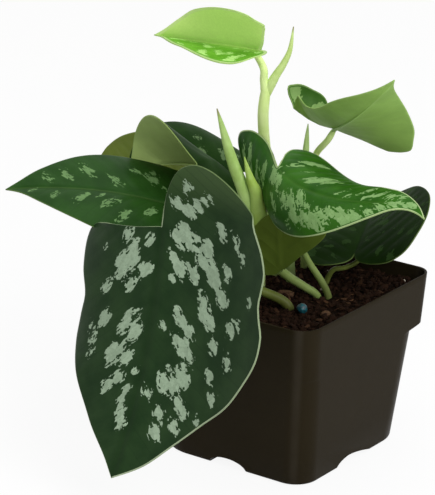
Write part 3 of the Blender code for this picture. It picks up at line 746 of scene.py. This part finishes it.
# colours of each leaf's upper side, silver patches, margin and underside; cover is how much of it is
# silver where no clusters are placed, cell the size of one patch, ragged and grow millimetres by which
# a cluster's border wanders and moves out, stretch and slant how it lies across the blade
plainLook = dict(
    cover=0.3, cell=1.9, ragged=2.2, grow=0.1, stretch=1.3, slant=0.5, shine=0.06, quilt=1.0,
    rib=0.12, ribWidth=1.1, ribColour=None, marginWidth=0.45, marginStrength=0.6, lobeFade=0.25,
    lobeSheenGreen=None, farGreen=None, slot="leaf_dark",
)
looks = {
    # the dark look's paler lobe colour is a painted sheen on the lobes
    "dark": dict(deep=rgb(21, 43, 19), green=rgb(36, 58, 30), lobeSheenGreen=rgb(66, 88, 50),
                 silver=rgb(152, 172, 146), cell=2.2, ragged=3.4, grow=0.6, stretch=0.9,
                 rib=0.3, ribWidth=5.0, ribColour=rgb(12, 28, 10),
                 margin=rgb(160, 174, 142), marginWidth=0.6, marginStrength=0.9, lobeFade=0.9,
                 under=rgb(100, 120, 76), underVein=rgb(126, 144, 98)),
    "left": dict(deep=rgb(26, 58, 16), green=rgb(38, 74, 24),
                 silver=rgb(108, 142, 90), grow=-0.4, ragged=3.2, cell=1.5, stretch=1.6,
                 margin=rgb(66, 98, 42), under=rgb(110, 130, 78), underVein=rgb(126, 144, 96)),
    "cupped": dict(deep=rgb(26, 50, 18), green=rgb(36, 62, 24), silver=rgb(100, 124, 84), grow=-0.5,
                   shine=0.01, margin=rgb(84, 106, 58), marginStrength=0.25,
                   # its underside is painted paler, standing in for light shining through the blade
                   under=rgb(160, 184, 108), underVein=rgb(168, 192, 120)),
    "back": dict(deep=rgb(64, 88, 30), green=rgb(84, 106, 40), silver=rgb(150, 168, 120), cover=0.2,
                 margin=rgb(110, 128, 60), under=rgb(108, 126, 48), underVein=rgb(120, 138, 62),
                 slot="leaf_pale"),
    "pale": dict(deep=rgb(50, 88, 30), green=rgb(76, 116, 44), silver=rgb(130, 162, 96), cover=0.45,
                 quilt=0.4, margin=rgb(160, 184, 120), marginWidth=0.8, marginStrength=0.35,
                 # its underside is painted paler, standing in for light shining through the blade
                 under=rgb(140, 178, 88), underVein=rgb(148, 184, 98), slot="leaf_pale"),
    "bright": dict(deep=rgb(30, 74, 12), green=rgb(52, 102, 23),
                   silver=rgb(134, 170, 108), ragged=2.8, grow=-0.5, stretch=1.5, slant=0.85,
                   margin=rgb(178, 198, 142), marginWidth=0.7, marginStrength=0.85, lobeFade=0.0,
                   under=rgb(92, 124, 54), underVein=rgb(116, 146, 78), slot="leaf_green"),
    "shaded": dict(deep=rgb(17, 34, 8), green=rgb(26, 46, 14), silver=rgb(44, 66, 32), cover=0.1,
                   rib=0.0, shine=0.01, margin=rgb(66, 84, 38), marginStrength=0.4,
                   under=rgb(84, 102, 54), underVein=rgb(108, 124, 76)),
    # the inner leaf's colours are painted paler, standing in for light through the blade where it hangs in
    # shade
    "inner": dict(deep=rgb(84, 104, 36), green=rgb(98, 118, 46), silver=rgb(104, 124, 54), cover=0.2, rib=0.0,
                  margin=rgb(108, 126, 58), under=rgb(98, 118, 44), underVein=rgb(104, 122, 52)),
    "young": dict(deep=rgb(82, 148, 28), green=rgb(112, 178, 50), farGreen=rgb(222, 252, 146),
                  silver=rgb(184, 230, 132), cover=0.24, cell=1.0, rib=0.0, quilt=0.25,
                  margin=rgb(206, 226, 160), marginWidth=1.6, lobeFade=0.0,
                  under=rgb(150, 196, 86), underVein=rgb(166, 206, 108), slot="leaf_young"),
}


def midrib(leaf, half, along):
    # points on the midrib, with its forward, left and upward directions there
    leaf = {**plainBlade, **leaf}
    x = np.linspace(-0.5, 1, 301)
    ahead = np.clip(x, 0, 1)
    lobeLift = half["lift"] * np.clip(x, -1, 0) / 0.2
    droop = leaf["droop"] * np.clip((x - 0.8) / 0.2, 0, 1)
    heading = np.radians(leaf["heading"] + leaf["sweep"] * ahead)
    pitch = np.radians(leaf["pitch"] + leaf["bend"] * ahead + lobeLift + droop)
    roll = np.radians(leaf["roll"] + leaf["twist"] * ahead)[:, None]

    forward = np.stack([np.cos(pitch) * np.cos(heading), np.cos(pitch) * np.sin(heading), np.sin(pitch)], 1)
    level = np.stack([-np.sin(heading), np.cos(heading), 0 * heading], 1)
    square = np.cross(forward, level)
    left = level * np.cos(roll) + square * np.sin(roll)
    up = square * np.cos(roll) - level * np.sin(roll)

    step = (x[1] - x[0]) * leaf["length"]
    place = np.zeros_like(forward)
    place[1:] = np.cumsum((forward[1:] + forward[:-1]) / 2 * step, axis=0)
    place += np.array(leaf["joint"]) - place[np.argmin(abs(x))]
    return [np.stack([np.interp(along, x, table[:, axis]) for axis in range(3)], -1)
            for table in (place, forward, left, up)]


def bladePoints(leaf, side, along, across, relief):
    # flat blade coordinates on one half, carried onto the bent, folded and curled leaf
    half = {**plainHalf, **leaf["left" if side > 0 else "right"]}
    place, _, left, up = midrib(leaf, half, along)
    fold = half["fold"] + half["cup"] * np.clip(along, 0, 1) + half["dip"] * np.clip(along, -1, 0) / 0.2
    fold = np.radians(fold)
    bend = np.radians(half["curl"] or 0.01) / half["width"]
    reach = across * half["width"]
    turn = fold + bend * reach
    out = (np.sin(turn) - np.sin(fold)) / bend - relief * np.sin(turn)
    rise = (np.cos(fold) - np.cos(turn)) / bend + relief * np.cos(turn)
    return place + left * (side * out)[:, None] + up * rise[:, None]


def halfOutline(leaf, side, count):
    half = {**plainHalf, **leaf["left" if side > 0 else "right"]}
    outline = half["outline"] or [(x * half["lobe"] if x < 0 else x, y) for x, y in heart]
    return smoothCurve(outline, count)


def distanceToLine(points, line):
    # shortest distance from each point to a polyline, in the flat
    best = np.full(len(points), 1e9)
    for start, end in zip(line, line[1:]):
        step = end - start
        share = np.clip(((points - start) @ step) / max(step @ step, 1e-9), 0, 1)
        best = np.minimum(best, np.linalg.norm(points - start - share[:, None] * step, axis=1))
    return best


def veinPlace(leaf, along, reach):
    # where on the midrib, in millimetres, the side vein through a place on the blade springs from
    return along * leaf["length"] - leafShape["veinSlope"] * reach + leafShape["veinBend"] * reach**2


def bladeNodes(nodes, drift):
    # millimetres to the left of the midrib, along it, off it and along the side veins
    blade = nodes.add("ShaderNodeSeparateXYZ", {"Vector": nodes.attribute("blade", "Vector")})
    across, along, vein = blade.outputs
    flat = nodes.add("ShaderNodeCombineXYZ", {"X": across, "Y": along, "Z": drift}).outputs[0]
    return across, along, vein, nodes.size(across), flat


def veinWave(nodes, vein):
    # nought on a side vein, one half way to the next
    return nodes.size(nodes.work("SINE", nodes.times(vein, math.pi / leafShape["veinSpacing"])))


def silverNodes(nodes, look, seed, across, vein, flat, fine):
    # patches are small cells that follow the side veins, and shift a cluster's border to and fro
    ragged = nodes.add("ShaderNodeTexNoise", {"Vector": flat, "Scale": 0.6, "Detail": 2.0, "Roughness": 0.6})
    shake = nodes.add("ShaderNodeVectorMath", {0: ragged.outputs["Color"], 1: (0.5, 0.5, 0.5)},
                      operation="SUBTRACT")
    place = nodes.add("ShaderNodeCombineXYZ", {
        "X": nodes.work("DIVIDE", vein, look["cell"]),
        "Y": nodes.work("DIVIDE", across, look["cell"] * 1.25), "Z": seed})
    place = nodes.add("ShaderNodeVectorMath", {0: place.outputs[0], 1: shake.outputs[0]}, operation="ADD")
    cells = nodes.add("ShaderNodeTexVoronoi", {
        "Vector": place.outputs[0], "Scale": 1.0, "Randomness": 0.9}, distance="MANHATTAN")
    draws = nodes.add("ShaderNodeSeparateXYZ", {"Vector": cells.outputs["Color"]})
    drawBorder, drawSpeck, drawShade = draws.outputs

    depth = nodes.attribute("silver")
    border = nodes.plus(depth, nodes.times(nodes.minus(drawBorder, 0.45), look["ragged"]))
    border = nodes.plus(border, nodes.times(nodes.minus(fine, 0.5), 0.9))
    patch = nodes.ramp(border, -0.16, 0.16)
    # a few lone specks stand round the clusters, and none on the margin
    specks = nodes.times(nodes.ramp(drawSpeck, 0.93, 0.94), nodes.ramp(cells.outputs["Distance"], 0.34, 0.24))
    silver = nodes.larger(patch, nodes.times(specks, nodes.ramp(depth, -3.6, -1.5)))
    silver = nodes.times(silver, nodes.ramp(nodes.attribute("edge"), 1.3, 1.9))
    shade = nodes.mix(nodes.times(drawShade, 0.22), look["silver"], look["green"])
    return silver, nodes.mix(nodes.times(nodes.ramp(fine, 0.35, 0.75), 0.16), shade, look["green"])


def leafTopMaterial(name, look, seed):
    nodes = Nodes(name, Specular_IOR_Level=look["shine"])
    across, along, vein, reach, flat = bladeNodes(nodes, seed)
    broad = nodes.noise(flat, 0.06, 3.0)
    fine = nodes.noise(flat, 0.9, 4.0, 0.6)
    silver, shade = silverNodes(nodes, look, seed, across, vein, flat, fine)

    green = nodes.mix(nodes.ramp(broad, 0.3, 0.72), look["deep"], look["green"])
    if look["farGreen"]:  # the right half is paler and plain
        far = nodes.ramp(across, 9.0, -9.0)
        green = nodes.mix(far, green, look["farGreen"])
        silver = nodes.times(silver, nodes.ramp(far, 0.1, 0.6, 1.0, 0.0))
    if look["lobeSheenGreen"]:  # the lobes are painted paler, a painted sheen of the light on their satin surface
        green = nodes.mix(nodes.ramp(along, -4.0, -38.0), green, look["lobeSheenGreen"])
    green = nodes.mix(nodes.times(fine, 0.3), green, look["green"])
    veinLine = nodes.times(nodes.ramp(veinWave(nodes, vein), 0.2, 0.03), nodes.ramp(reach, 0.5, 4.0))
    green = nodes.mix(nodes.times(veinLine, 0.3 * look["quilt"] ** 2), green, look["deep"])
    rib = nodes.times(nodes.ramp(reach, look["ribWidth"], 0.3), look["rib"])
    green = nodes.mix(rib, green, look["ribColour"] or look["under"])

    colour = nodes.mix(silver, green, shade)
    rim = nodes.ramp(nodes.attribute("edge"), 1.15, 0.65)
    colour = nodes.mix(nodes.times(rim, look["marginStrength"]), colour, look["margin"])
    roughness = nodes.ramp(silver, 0.0, 1.0, 0.42, 0.52)
    return nodes.paint(colour, roughness, nodes.plus(nodes.times(fine, 0.5), nodes.times(silver, 0.3)), 0.1)


def leafUnderMaterial(name, look, seed):
    nodes = Nodes(name, Roughness=0.55, Specular_IOR_Level=0.05)
    _, _, vein, reach, flat = bladeNodes(nodes, seed + 7.0)
    broad = nodes.noise(flat, 0.07, 3.0)
    fine = nodes.noise(flat, 1.1, 4.0, 0.6)
    veinLine = nodes.times(nodes.ramp(veinWave(nodes, vein), 0.14, 0.02), nodes.ramp(reach, 45.0, 2.0))
    rib = nodes.ramp(reach, 1.5, 0.4)
    darker = tuple(c * 0.84 for c in look["under"][:3]) + (1.0,)
    colour = nodes.mix(nodes.ramp(broad, 0.3, 0.7), look["under"], darker)
    colour = nodes.mix(nodes.times(fine, 0.2), colour, look["underVein"])
    colour = nodes.mix(nodes.times(nodes.larger(veinLine, rib), 0.14), colour, look["underVein"])
    rim = nodes.ramp(nodes.attribute("edge"), 0.9, 0.6)
    colour = nodes.mix(nodes.times(rim, 0.6 * look["marginStrength"]), colour, look["margin"])
    return nodes.paint(colour, None, nodes.plus(nodes.times(fine, 0.6), nodes.times(veinLine, 0.5)), 0.1)


def silverDepth(leaf, look, along, across, seed):
    # millimetres inside a silver cluster's border; negative on the plain green
    place = along * leaf["length"]
    if leaf["clusters"]:
        depth = np.full(len(place), -4.0)
        slant = look["slant"]
        for share, offset, radius in leaf["clusters"]:
            aside = (place - slant * abs(across)) - (share * leaf["length"] - slant * abs(offset))
            away = np.hypot(aside, (across - offset) / look["stretch"])
            depth = np.maximum(depth, radius * 1.15 + look["grow"] - away)
        return depth
    depth = np.array([noise.noise(Vector((x * 0.16, y * 0.16, seed * 3.1))) for x, y in zip(across, place)])
    return np.clip((depth + look["cover"] - 0.5) * 5, -4, 2) - 3 * np.clip(1.6 - abs(across) / 2.5, 0, 1)


def surfaceRelief(leaf, look, reach, vein, away, share, v, seed):
    # quilted between the side veins, sunk along the midrib, wavy towards the margin
    between = np.sin(math.pi * vein / leafShape["veinSpacing"]) ** 2
    grow = np.clip(reach / 6, 0, 1) * np.clip(away / 5, 0, 1) * look["quilt"]
    quilts = leafShape["quilting"] * between - leafShape["veinDepth"] * (1 - between) ** 6
    trough = leafShape["midribDepth"] * np.exp(-(reach / leafShape["midribReach"]) ** 2)
    waveCount, waveHeight = leaf["waves"]
    waves = waveHeight * np.sin(2 * math.pi * waveCount * v + seed) * share**4 * np.sin(math.pi * v)
    return quilts * grow - trough * np.clip(away / 4, 0, 1) + waves


def buildLeaf(name, leaf, seed):
    # a grid runs from margin to margin and from the joint to the tip; the joint row closes to a point
    leaf = {**plainBlade, **leaf}
    look = {**plainLook, **looks[leaf["look"]]}
    rows, steps = leafShape["rows"], leafShape["marginSteps"]
    bm = bmesh.new()
    layers = [bm.verts.layers.float.new(layer) for layer in ("acrossMm", "alongShare", "edgeMm")]
    bmesh.ops.create_grid(bm, x_segments=leafShape["columns"], y_segments=rows, size=1.0)
    verts = list(bm.verts)
    u = np.array([round(v.co.x, 5) for v in verts])
    v = np.array([round((v.co.y + 1) / 2, 5) for v in verts])
    order = np.rint(v * rows).astype(int)
    flatAlong, flatAcross, edgeAway = np.zeros(len(u)), np.zeros(len(u)), np.zeros(len(u))
    for side in (1, -1):
        half = {**plainHalf, **leaf["left" if side > 0 else "right"]}
        outline = halfOutline(leaf, side, steps * rows + 1)
        chosen = np.nonzero(u * side >= 0)[0]
        share = abs(u[chosen])
        edge = outline[::steps][order[chosen]]
        along = v[chosen] ** leafShape["crowding"] * (1 - share) + edge[:, 0] * share
        across = edge[:, 1] * share
        reach = across * half["width"]
        flatPlace = np.stack([along * leaf["length"], reach], 1)
        away = distanceToLine(flatPlace, outline[::4] * (leaf["length"], half["width"]))
        relief = surfaceRelief(leaf, look, reach, veinPlace(leaf, along, reach), away, share, v[chosen], seed)
        for index, point in zip(chosen, bladePoints(leaf, side, along, across, relief)):
            verts[index].co = Vector(point) * mm
        flatAlong[chosen] = along
        flatAcross[chosen] = side * reach
        # the pale margin fades out round the lobes
        fade = look["lobeFade"] * np.clip(0.3 - 6 * along, 0, 1)
        edgeAway[chosen] = away / (look["marginWidth"] * half["edge"]) + fade
    for layer, values in zip(layers, (flatAcross, flatAlong, edgeAway)):
        for vert, value in zip(verts, values):
            vert[layer] = value
    bmesh.ops.remove_doubles(bm, verts=bm.verts, dist=doubled)
    bm.normal_update()
    # the grid's upper side has to be the blade's
    place, _, _, up = midrib(leaf, plainHalf, np.array([0.4]))
    nearest = min(bm.faces, key=lambda f: (f.calc_center_median() - Vector(place[0]) * mm).length)
    if nearest.normal.dot(Vector(up[0])) < 0:
        bmesh.ops.reverse_faces(bm, faces=bm.faces)
    across, along, edge = (np.array([vert[layer] for vert in bm.verts]) for layer in layers)
    materials = [leafTopMaterial(name + "Top", look, seed), leafUnderMaterial(name + "Under", look, seed)]
    piece = addPiece(pieceName(name), bm, materials, [name], smoothAngle=80)
    vein = veinPlace(leaf, along, abs(across))
    setAttribute(piece.data, "blade", np.stack([across, along * leaf["length"], vein], 1), "FLOAT_VECTOR")
    setAttribute(piece.data, "edge", edge)
    setAttribute(piece.data, "silver", silverDepth(leaf, look, along, across, seed))
    body = piece.modifiers.new("thickness", "SOLIDIFY")
    body.thickness = leafShape["thickness"] * mm
    body.offset = 0
    body.material_offset = 1
    body.material_offset_rim = 1


def buildLeaves():
    for number, (name, leaf) in enumerate(leaves.items()):
        buildLeaf(name, leaf, number + 1.0)
    print("leaves made")


# stalks, stems and spears

# where each one leaves the soil, its radius at the foot and the end, and the way between; a stalk
# with a leaf goes on to it by itself, and one with a forkLength grows from the stem and fills out
# over that many millimetres
stalks = {
    "stalk_front": dict(leaf="leaf_front", root=(17.0, -17.5), radii=(2.8, 1.5),
                        way=[(13.5, -19.5, 83), (4, -25.5, 88), (-12, -36, 98)], look="olive"),
    "stalk_left": dict(leaf="leaf_left", root=(-16, -8), radii=(1.9, 1.4),
                       way=[(-24, -11, 92), (-42, -14, 97), (-54, -14, 103)], look="olive"),
    "stalk_cupped": dict(leaf="leaf_cupped", root=(-22, 10), radii=(1.6, 1.2),
                         way=[(-28, 13, 96), (-42, 18, 110)], look="olive"),
    "stalk_back_left": dict(leaf="leaf_back_left", root=(-24, 24), radii=(1.6, 1.2),
                            way=[(-36, 28, 88), (-56, 34, 90)], look="olive"),
    "stalk_upper_right": dict(leaf="leaf_upper_right", root=(-8, 31), radii=(1.9, 1.6),
                              way=[(-9, 33, 108), (-3, 32, 138)], look="pale"),
    "stalk_right": dict(leaf="leaf_right", root=(23.5, 6.5), radii=(1.9, 1.4),
                        way=[(20.8, 4.9, 86.1), (15.1, 0.9, 97.4), (10, -3, 112), (8, -7, 130)],
                        look="green"),
    "stalk_low_right": dict(leaf="leaf_low_right", root=(13, 20), radii=(1.5, 1.1),
                            way=[(17, 20, 87), (23, 22, 89)], look="olive"),
    "stalk_inner": dict(leaf=None, root=(19.6, 3.0), radii=(1.8, 2.45),
                        way=[(14.5, -1.5, 84.5), (9.5, -6.5, 89.5), (6.5, -9.8, 93.5)], look="green"),
    "stalk_top": dict(leaf="leaf_top", forkLength=7.0, radii=(2.2, 1.6), look="pale",
                      way=[(-14.3, 5.5, 172), (-14.3, 5.1, 178), (-14.5, 4.6, 182.5), (-14.4, 4.5, 187.3)]),
}
# close rounds a stem's end off inside the pieces that grow on from it
stems = {
    "main_stem": dict(root=(-14, 15), radii=(2.7, 2.7), close=1.2,
                      way=[(-16, 15, 110), (-20, 14.5, 140), (-15.8, 6.0, 164), (-13.4, 5.5, 181)]),
    "side_stem": dict(root=(-11, -3), radii=(2.6, 3.6), close=0.0,
                      way=[(-9.5, -5, 95), (-8, -9, 108), (-6.6, -13, 117)]),
}
# rolled leaves: thinning is how late each one tapers, fork the share of its length over which it
# fills out from inside its stem, flat how far it is pressed flat
spears = {
    "spear_back": dict(root=(-3, 12), radii=(2.3, 0.2), thinning=7.0, flat=0.0, look="bud",
                       way=[(-3, 12, 105), (1.5, 15.8, 135), (3.2, 16.9, 160.3)]),
    "spear_top": dict(radii=(2.5, 0.25), thinning=1.5, fork=0.2, flat=0.1, look="topSpear",
                      way=[(-13.0, 6.0, 174.5), (-12.0, 6.5, 179.5), (-9.5, 7.9, 184.8), (-6.6, 10, 190.5),
                           (-4.2, 11.7, 197.4), (-2.9, 12.6, 209)]),
    "spear_left": dict(radii=(3.4, 0.25), thinning=2.8, fork=0.09, flat=0.1, look="spear",
                       way=[(-8.0, -12.8, 114), (-8.7, -13.4, 118.2), (-11.5, -15.5, 132), (-16, -18.6, 147),
                            (-22.1, -23, 173.4)]),
    "sheath_left": dict(radii=(4.5, 0.25), thinning=1.6, fork=0.12, flat=0.1, look="sheath",
                        way=[(-4.2, -12.3, 113), (-4.0, -12.7, 118.2), (-5.0, -14.0, 131), (-7.4, -15.8, 139),
                             (-9.9, -17.4, 150)]),
}
stalkShape = dict(
    sides=20, stemSides=28, spearSides=32, rootDepth=9.0,
    seat=3.5, approach=6.2,  # where a stalk meets the midrib, and how far under it the last bend is
    ribStart=1.5, ribEnd=0.8, ribSink=0.45,
)
# the foot colour darkens each planted stalk near the soil
footColour, driedColour = rgb(66, 64, 28), rgb(126, 104, 76)
stalkColours = {
    "pale": (rgb(204, 230, 134), rgb(222, 242, 164)),
    "bud": (rgb(160, 190, 112), rgb(180, 208, 134)),
    "green": (rgb(114, 134, 68), rgb(136, 156, 88)),
    "olive": (rgb(96, 108, 44), rgb(116, 128, 62)),
    "spear": (rgb(146, 180, 88), rgb(174, 204, 124)),
    "topSpear": (rgb(184, 210, 118), rgb(204, 226, 148)),
    "sheath": (rgb(144, 174, 64), rgb(168, 198, 104)),
}
planted = (*stalks.values(), *stems.values(), *spears.values())
rootPlaces = [piece["root"] for piece in planted if "root" in piece]


def sweepTube(bm, way, radiusAt, sides, section=None):
    # rings square to the path, bridged into a closed tube; section(share, angle) scales the radius
    path = np.asarray(way, float)
    tangent = np.gradient(path, axis=0)
    tangent /= np.linalg.norm(tangent, axis=1)[:, None]
    side = Vector(tangent[0]).orthogonal().normalized()
    rings = []
    for index, point in enumerate(path):
        forward = Vector(tangent[index])
        side = (side - forward * side.dot(forward)).normalized()
        other = forward.cross(side)
        share = index / (len(path) - 1)
        ring = []
        for step in range(sides):
            angle = 2 * math.pi * step / sides
            radius = radiusAt(share) * (section(share, angle) if section else 1)
            sideways, across = radius * math.cos(angle), radius * math.sin(angle)
            ring.append(Vector(point) + side * sideways + other * across)
        rings.append(ring)
    loftRings(bm, rings)


def stalkMaterial(name, look, ribColour=None, inSoil=True):
    # the attribute along runs 0 to 1 up the bare stalk and on to 2 where it is the rib under the blade
    base, tint = stalkColours[look]
    nodes = Nodes(name, Roughness=0.42, Specular_IOR_Level=0.15)
    place = nodes.objectPlace()
    stretch = nodes.add("ShaderNodeMapping", {"Vector": place, "Scale": (1.0, 1.0, 0.15)}).outputs[0]
    streak = nodes.noise(stretch, 1.2, 4.0, 0.6)
    mottle = nodes.noise(place, 0.12, 3.0)
    along = nodes.attribute("along")
    colour = nodes.mix(nodes.ramp(mottle, 0.3, 0.7), base, tint)
    colour = nodes.mix(nodes.times(streak, 0.5), colour, tint)
    if inSoil:
        # each planted stalk is darker towards its foot
        foot = nodes.ramp(along, 0.34, 0.05)
        colour = nodes.mix(nodes.times(foot, 0.7), colour, footColour)
    if look in ("spear", "topSpear"):
        colour = nodes.mix(nodes.times(nodes.ramp(along, 0.9, 1.0), 0.8), colour, driedColour)
    if ribColour:
        colour = nodes.mix(nodes.ramp(along, 0.9, 1.08), colour, ribColour)
    return nodes.paint(colour, None, streak, 0.12)


def wayLengths(way):
    return np.linalg.norm(np.diff(np.asarray(way, float), axis=0), axis=1)


def addTube(name, way, radiusAt, material, sides=stalkShape["sides"], section=None, bare=1.0):
    # one ring to each millimetre of the way
    path = smoothCurve(way, max(12, round(wayLengths(way).sum())))
    bm = bmesh.new()
    sweepTube(bm, path, radiusAt, sides, section)
    piece = addPiece(pieceName(name), bm, [material], [name], smoothAngle=60)
    share = np.linspace(0, 1, len(path))
    along = np.where(share < bare, share / bare, 1 + (share - bare) / max(1 - bare, 1e-6))
    setAttribute(piece.data, "along", np.repeat(along, sides))


def rooted(piece):
    # the way of a piece that grows out of the soil starts down in it
    if "root" not in piece:
        return piece["way"]
    x, y = piece["root"]
    return [(x, y, soil["top"] - stalkShape["rootDepth"]), (x, y, soil["top"])] + piece["way"]


def taper(radii, thinning, fork=0.0):
    start, end = radii

    def radiusAt(share):
        radius = start + (end - start) * share**thinning
        return radius * (0.45 + 0.55 * math.sin(math.pi / 2 * min(share / fork, 1))) if fork else radius

    return radiusAt


def groove(share, angle):
    # a shallow channel runs along the upper side of each stalk
    away = math.atan2(math.sin(angle), math.cos(angle))
    return 1 - 0.14 * math.exp(-(away / 0.45) ** 2)


def rolled(share, angle, flat):
    # the free edge of a blade still rolled round itself
    turned = (angle + 2.2 * share) % (2 * math.pi)
    return (0.94 + 0.16 * (turned / (2 * math.pi)) ** 2) * (1 - flat * math.sin(angle) ** 2)


def ribRadius(past):
    # from the joint to where the rib fades into the blade
    return 0.15 + 0.55 * (1 - past) ** 0.8 + 0.5 * math.exp(-past * 14)


def underMidrib(leaf):
    # the last bend before the blade, and the rib that the stalk becomes along its underside
    leaf = {**plainBlade, **leaf}
    seat = stalkShape["seat"] / leaf["length"]
    place, _, _, up = midrib(leaf, plainHalf, np.array([seat]))
    approach = place[0] - up[0] * stalkShape["approach"]
    first = seat + stalkShape["ribStart"] / leaf["length"]
    pasts = np.array([0, 0.04, 0.1, 0.2, 0.4, 0.6, 0.8, 1.0])
    place, _, _, up = midrib(leaf, plainHalf, first + (stalkShape["ribEnd"] - first) * pasts)
    rib = [p - n * (ribRadius(past) + stalkShape["ribSink"]) for p, n, past in zip(place, up, pasts)]
    return [tuple(approach)], [tuple(p) for p in rib]


def addStalk(name, stalk):
    # a bare stalk, then the rib under its leaf
    leaf = leaves[stalk["leaf"]]
    approach, rib = underMidrib(leaf)
    way = rooted(stalk) + approach
    lengths = wayLengths(way + rib)
    whole = lengths.sum()
    bare = lengths[:len(way)].sum() / whole
    start, end = stalk["radii"]
    forkLength = stalk.get("forkLength", 0.0)

    def radiusAt(share):
        if share * whole < forkLength:
            return start * (0.5 + 0.5 * math.sin(math.pi / 2 * share * whole / forkLength))
        if share > bare:
            return ribRadius((share - bare) / (1 - bare))
        radius = start + (end - start) * share / bare
        return radius + (ribRadius(0) - radius) * max(0, 1 - (bare - share) * whole / 4) ** 2

    material = stalkMaterial(name, stalk["look"], looks[leaf["look"]]["under"], inSoil=not forkLength)
    addTube(name, way + rib, radiusAt, material, section=None if forkLength else groove, bare=bare)


def addStem(name, stem, material):
    start, end = stem["radii"]

    def radiusAt(share):
        return start + (end - start) * share - stem["close"] * share**30

    addTube(name, rooted(stem), radiusAt, material, sides=stalkShape["stemSides"])


def addSpear(name, spear):
    radiusAt = taper(spear["radii"], spear["thinning"], spear.get("fork", 0.0))

    def section(share, angle):
        return rolled(share, angle, spear["flat"])

    material = stalkMaterial(name, spear["look"], inSoil="root" in spear)
    addTube(name, rooted(spear), radiusAt, material, sides=stalkShape["spearSides"], section=section)


def buildStalks():
    for name, stalk in stalks.items():
        if stalk["leaf"]:
            addStalk(name, stalk)
        else:
            addTube(name, rooted(stalk), taper(stalk["radii"], 1.0), stalkMaterial(name, stalk["look"]),
                    section=groove)
    stemMaterial = stalkMaterial("stem", "pale")
    for name, stem in stems.items():
        addStem(name, stem, stemMaterial)
    for name, spear in spears.items():
        addSpear(name, spear)
    print("stalks and spears made")


# floor, light and camera

studio = dict(
    worldLight=0.45, shadow=0.09, lampAim=(0, 0, 0.1),
    lamps=dict(
        keyLamp=dict(place=(1.1, -0.35, 0.9), size=0.9, power=13),
        fillLamp=dict(place=(-0.9, -1.2, 0.9), size=1.2, power=3),
        topLamp=dict(place=(0.0, 0.3, 1.5), size=1.0, power=7),
    ),
)
# the camera turns about the target and aims a little left of it and above it, in metres
view = dict(target=(0, 0, 0.05), azimuth=35.28, elevation=22.02, distance=1.4792, aim=(-0.0316, 0.0475),
            lens=218.2, sensor=36)


def buildFloor():
    bm = bmesh.new()
    bmesh.ops.create_circle(bm, cap_ends=True, segments=96, radius=3.0)
    bmesh.ops.translate(bm, verts=bm.verts, vec=(0, 0, -0.0004))
    nodes = Nodes("floorPaper", Roughness=0.9, Specular_IOR_Level=0.1)
    nodes.shader.inputs["Base Color"].default_value = (0.9, 0.9, 0.9, 1)
    # white to the camera, with the object's soft shadow left on it
    glow = nodes.add("ShaderNodeEmission", {"Color": (1, 1, 1, 1), "Strength": 1.0})
    seen = nodes.add("ShaderNodeLightPath")
    direct = nodes.larger(seen.outputs["Is Camera Ray"], seen.outputs["Is Glossy Ray"])
    direct = nodes.larger(direct, seen.outputs["Is Transmission Ray"])
    mixed = nodes.add("ShaderNodeMixShader", {0: nodes.times(direct, 1 - studio["shadow"])})
    nodes.put(mixed.inputs[1], nodes.shader.outputs[0])
    nodes.put(mixed.inputs[2], glow.outputs[0])
    nodes.put(nodes.tree.nodes["Material Output"].inputs["Surface"], mixed.outputs[0])
    floor = plainObject("floor", bm)
    floor.data.materials.append(nodes.material)


def buildWorld():
    world = bpy.data.worlds.new("studio")
    bpy.context.scene.world = world
    world.use_nodes = True
    tree = world.node_tree
    background = tree.nodes["Background"]
    seen = tree.nodes.new("ShaderNodeLightPath")
    direct = seen.outputs["Is Camera Ray"]
    for ray in ("Is Glossy Ray", "Is Transmission Ray"):
        larger = tree.nodes.new("ShaderNodeMath")
        larger.operation = "MAXIMUM"
        tree.links.new(direct, larger.inputs[0])
        tree.links.new(seen.outputs[ray], larger.inputs[1])
        direct = larger.outputs[0]
    strength = tree.nodes.new("ShaderNodeMapRange")
    tree.links.new(direct, strength.inputs["Value"])
    strength.inputs["To Min"].default_value = studio["worldLight"]
    strength.inputs["To Max"].default_value = 1.0
    tree.links.new(strength.outputs[0], background.inputs["Strength"])
    background.inputs["Color"].default_value = (1, 1, 1, 1)


def addLamps():
    aim = Vector(studio["lampAim"])
    for name, lamp in studio["lamps"].items():
        data = bpy.data.lights.new(name, "AREA")
        data.shape = "DISK"
        data.size = lamp["size"]
        data.energy = lamp["power"]
        place = Vector(lamp["place"])
        piece = bpy.data.objects.new(name, data)
        bpy.context.scene.collection.objects.link(piece)
        piece.location = place
        piece.rotation_euler = (aim - place).to_track_quat("-Z", "Y").to_euler()


def addCamera():
    azimuth, elevation = math.radians(view["azimuth"]), math.radians(view["elevation"])
    level = math.cos(elevation)
    back = Vector((math.sin(azimuth) * level, -math.cos(azimuth) * level, math.sin(elevation)))
    right = Vector((math.cos(azimuth), math.sin(azimuth), 0))
    target = Vector(view["target"])
    place = target + back * view["distance"]
    aim = target + right * view["aim"][0] + back.cross(right) * view["aim"][1]
    data = bpy.data.cameras.new("camera")
    data.lens = view["lens"]
    data.sensor_width = view["sensor"]
    camera = bpy.data.objects.new("camera", data)
    bpy.context.scene.collection.objects.link(camera)
    look = (aim - place).normalized()
    side = look.cross(Vector((0, 0, 1))).normalized()
    camera.matrix_world = Matrix((side, side.cross(look), -look)).transposed().to_4x4()
    camera.matrix_world.translation = place
    bpy.context.scene.camera = camera


def buildStudio():
    addCamera()
    buildWorld()
    addLamps()
    buildFloor()
    print("camera, lamps and floor made")


buildStudio()
buildPot()
buildSoil()
buildLitter()
buildLeaves()
buildStalks()

bpy.context.scene.view_settings.view_transform = "Standard"
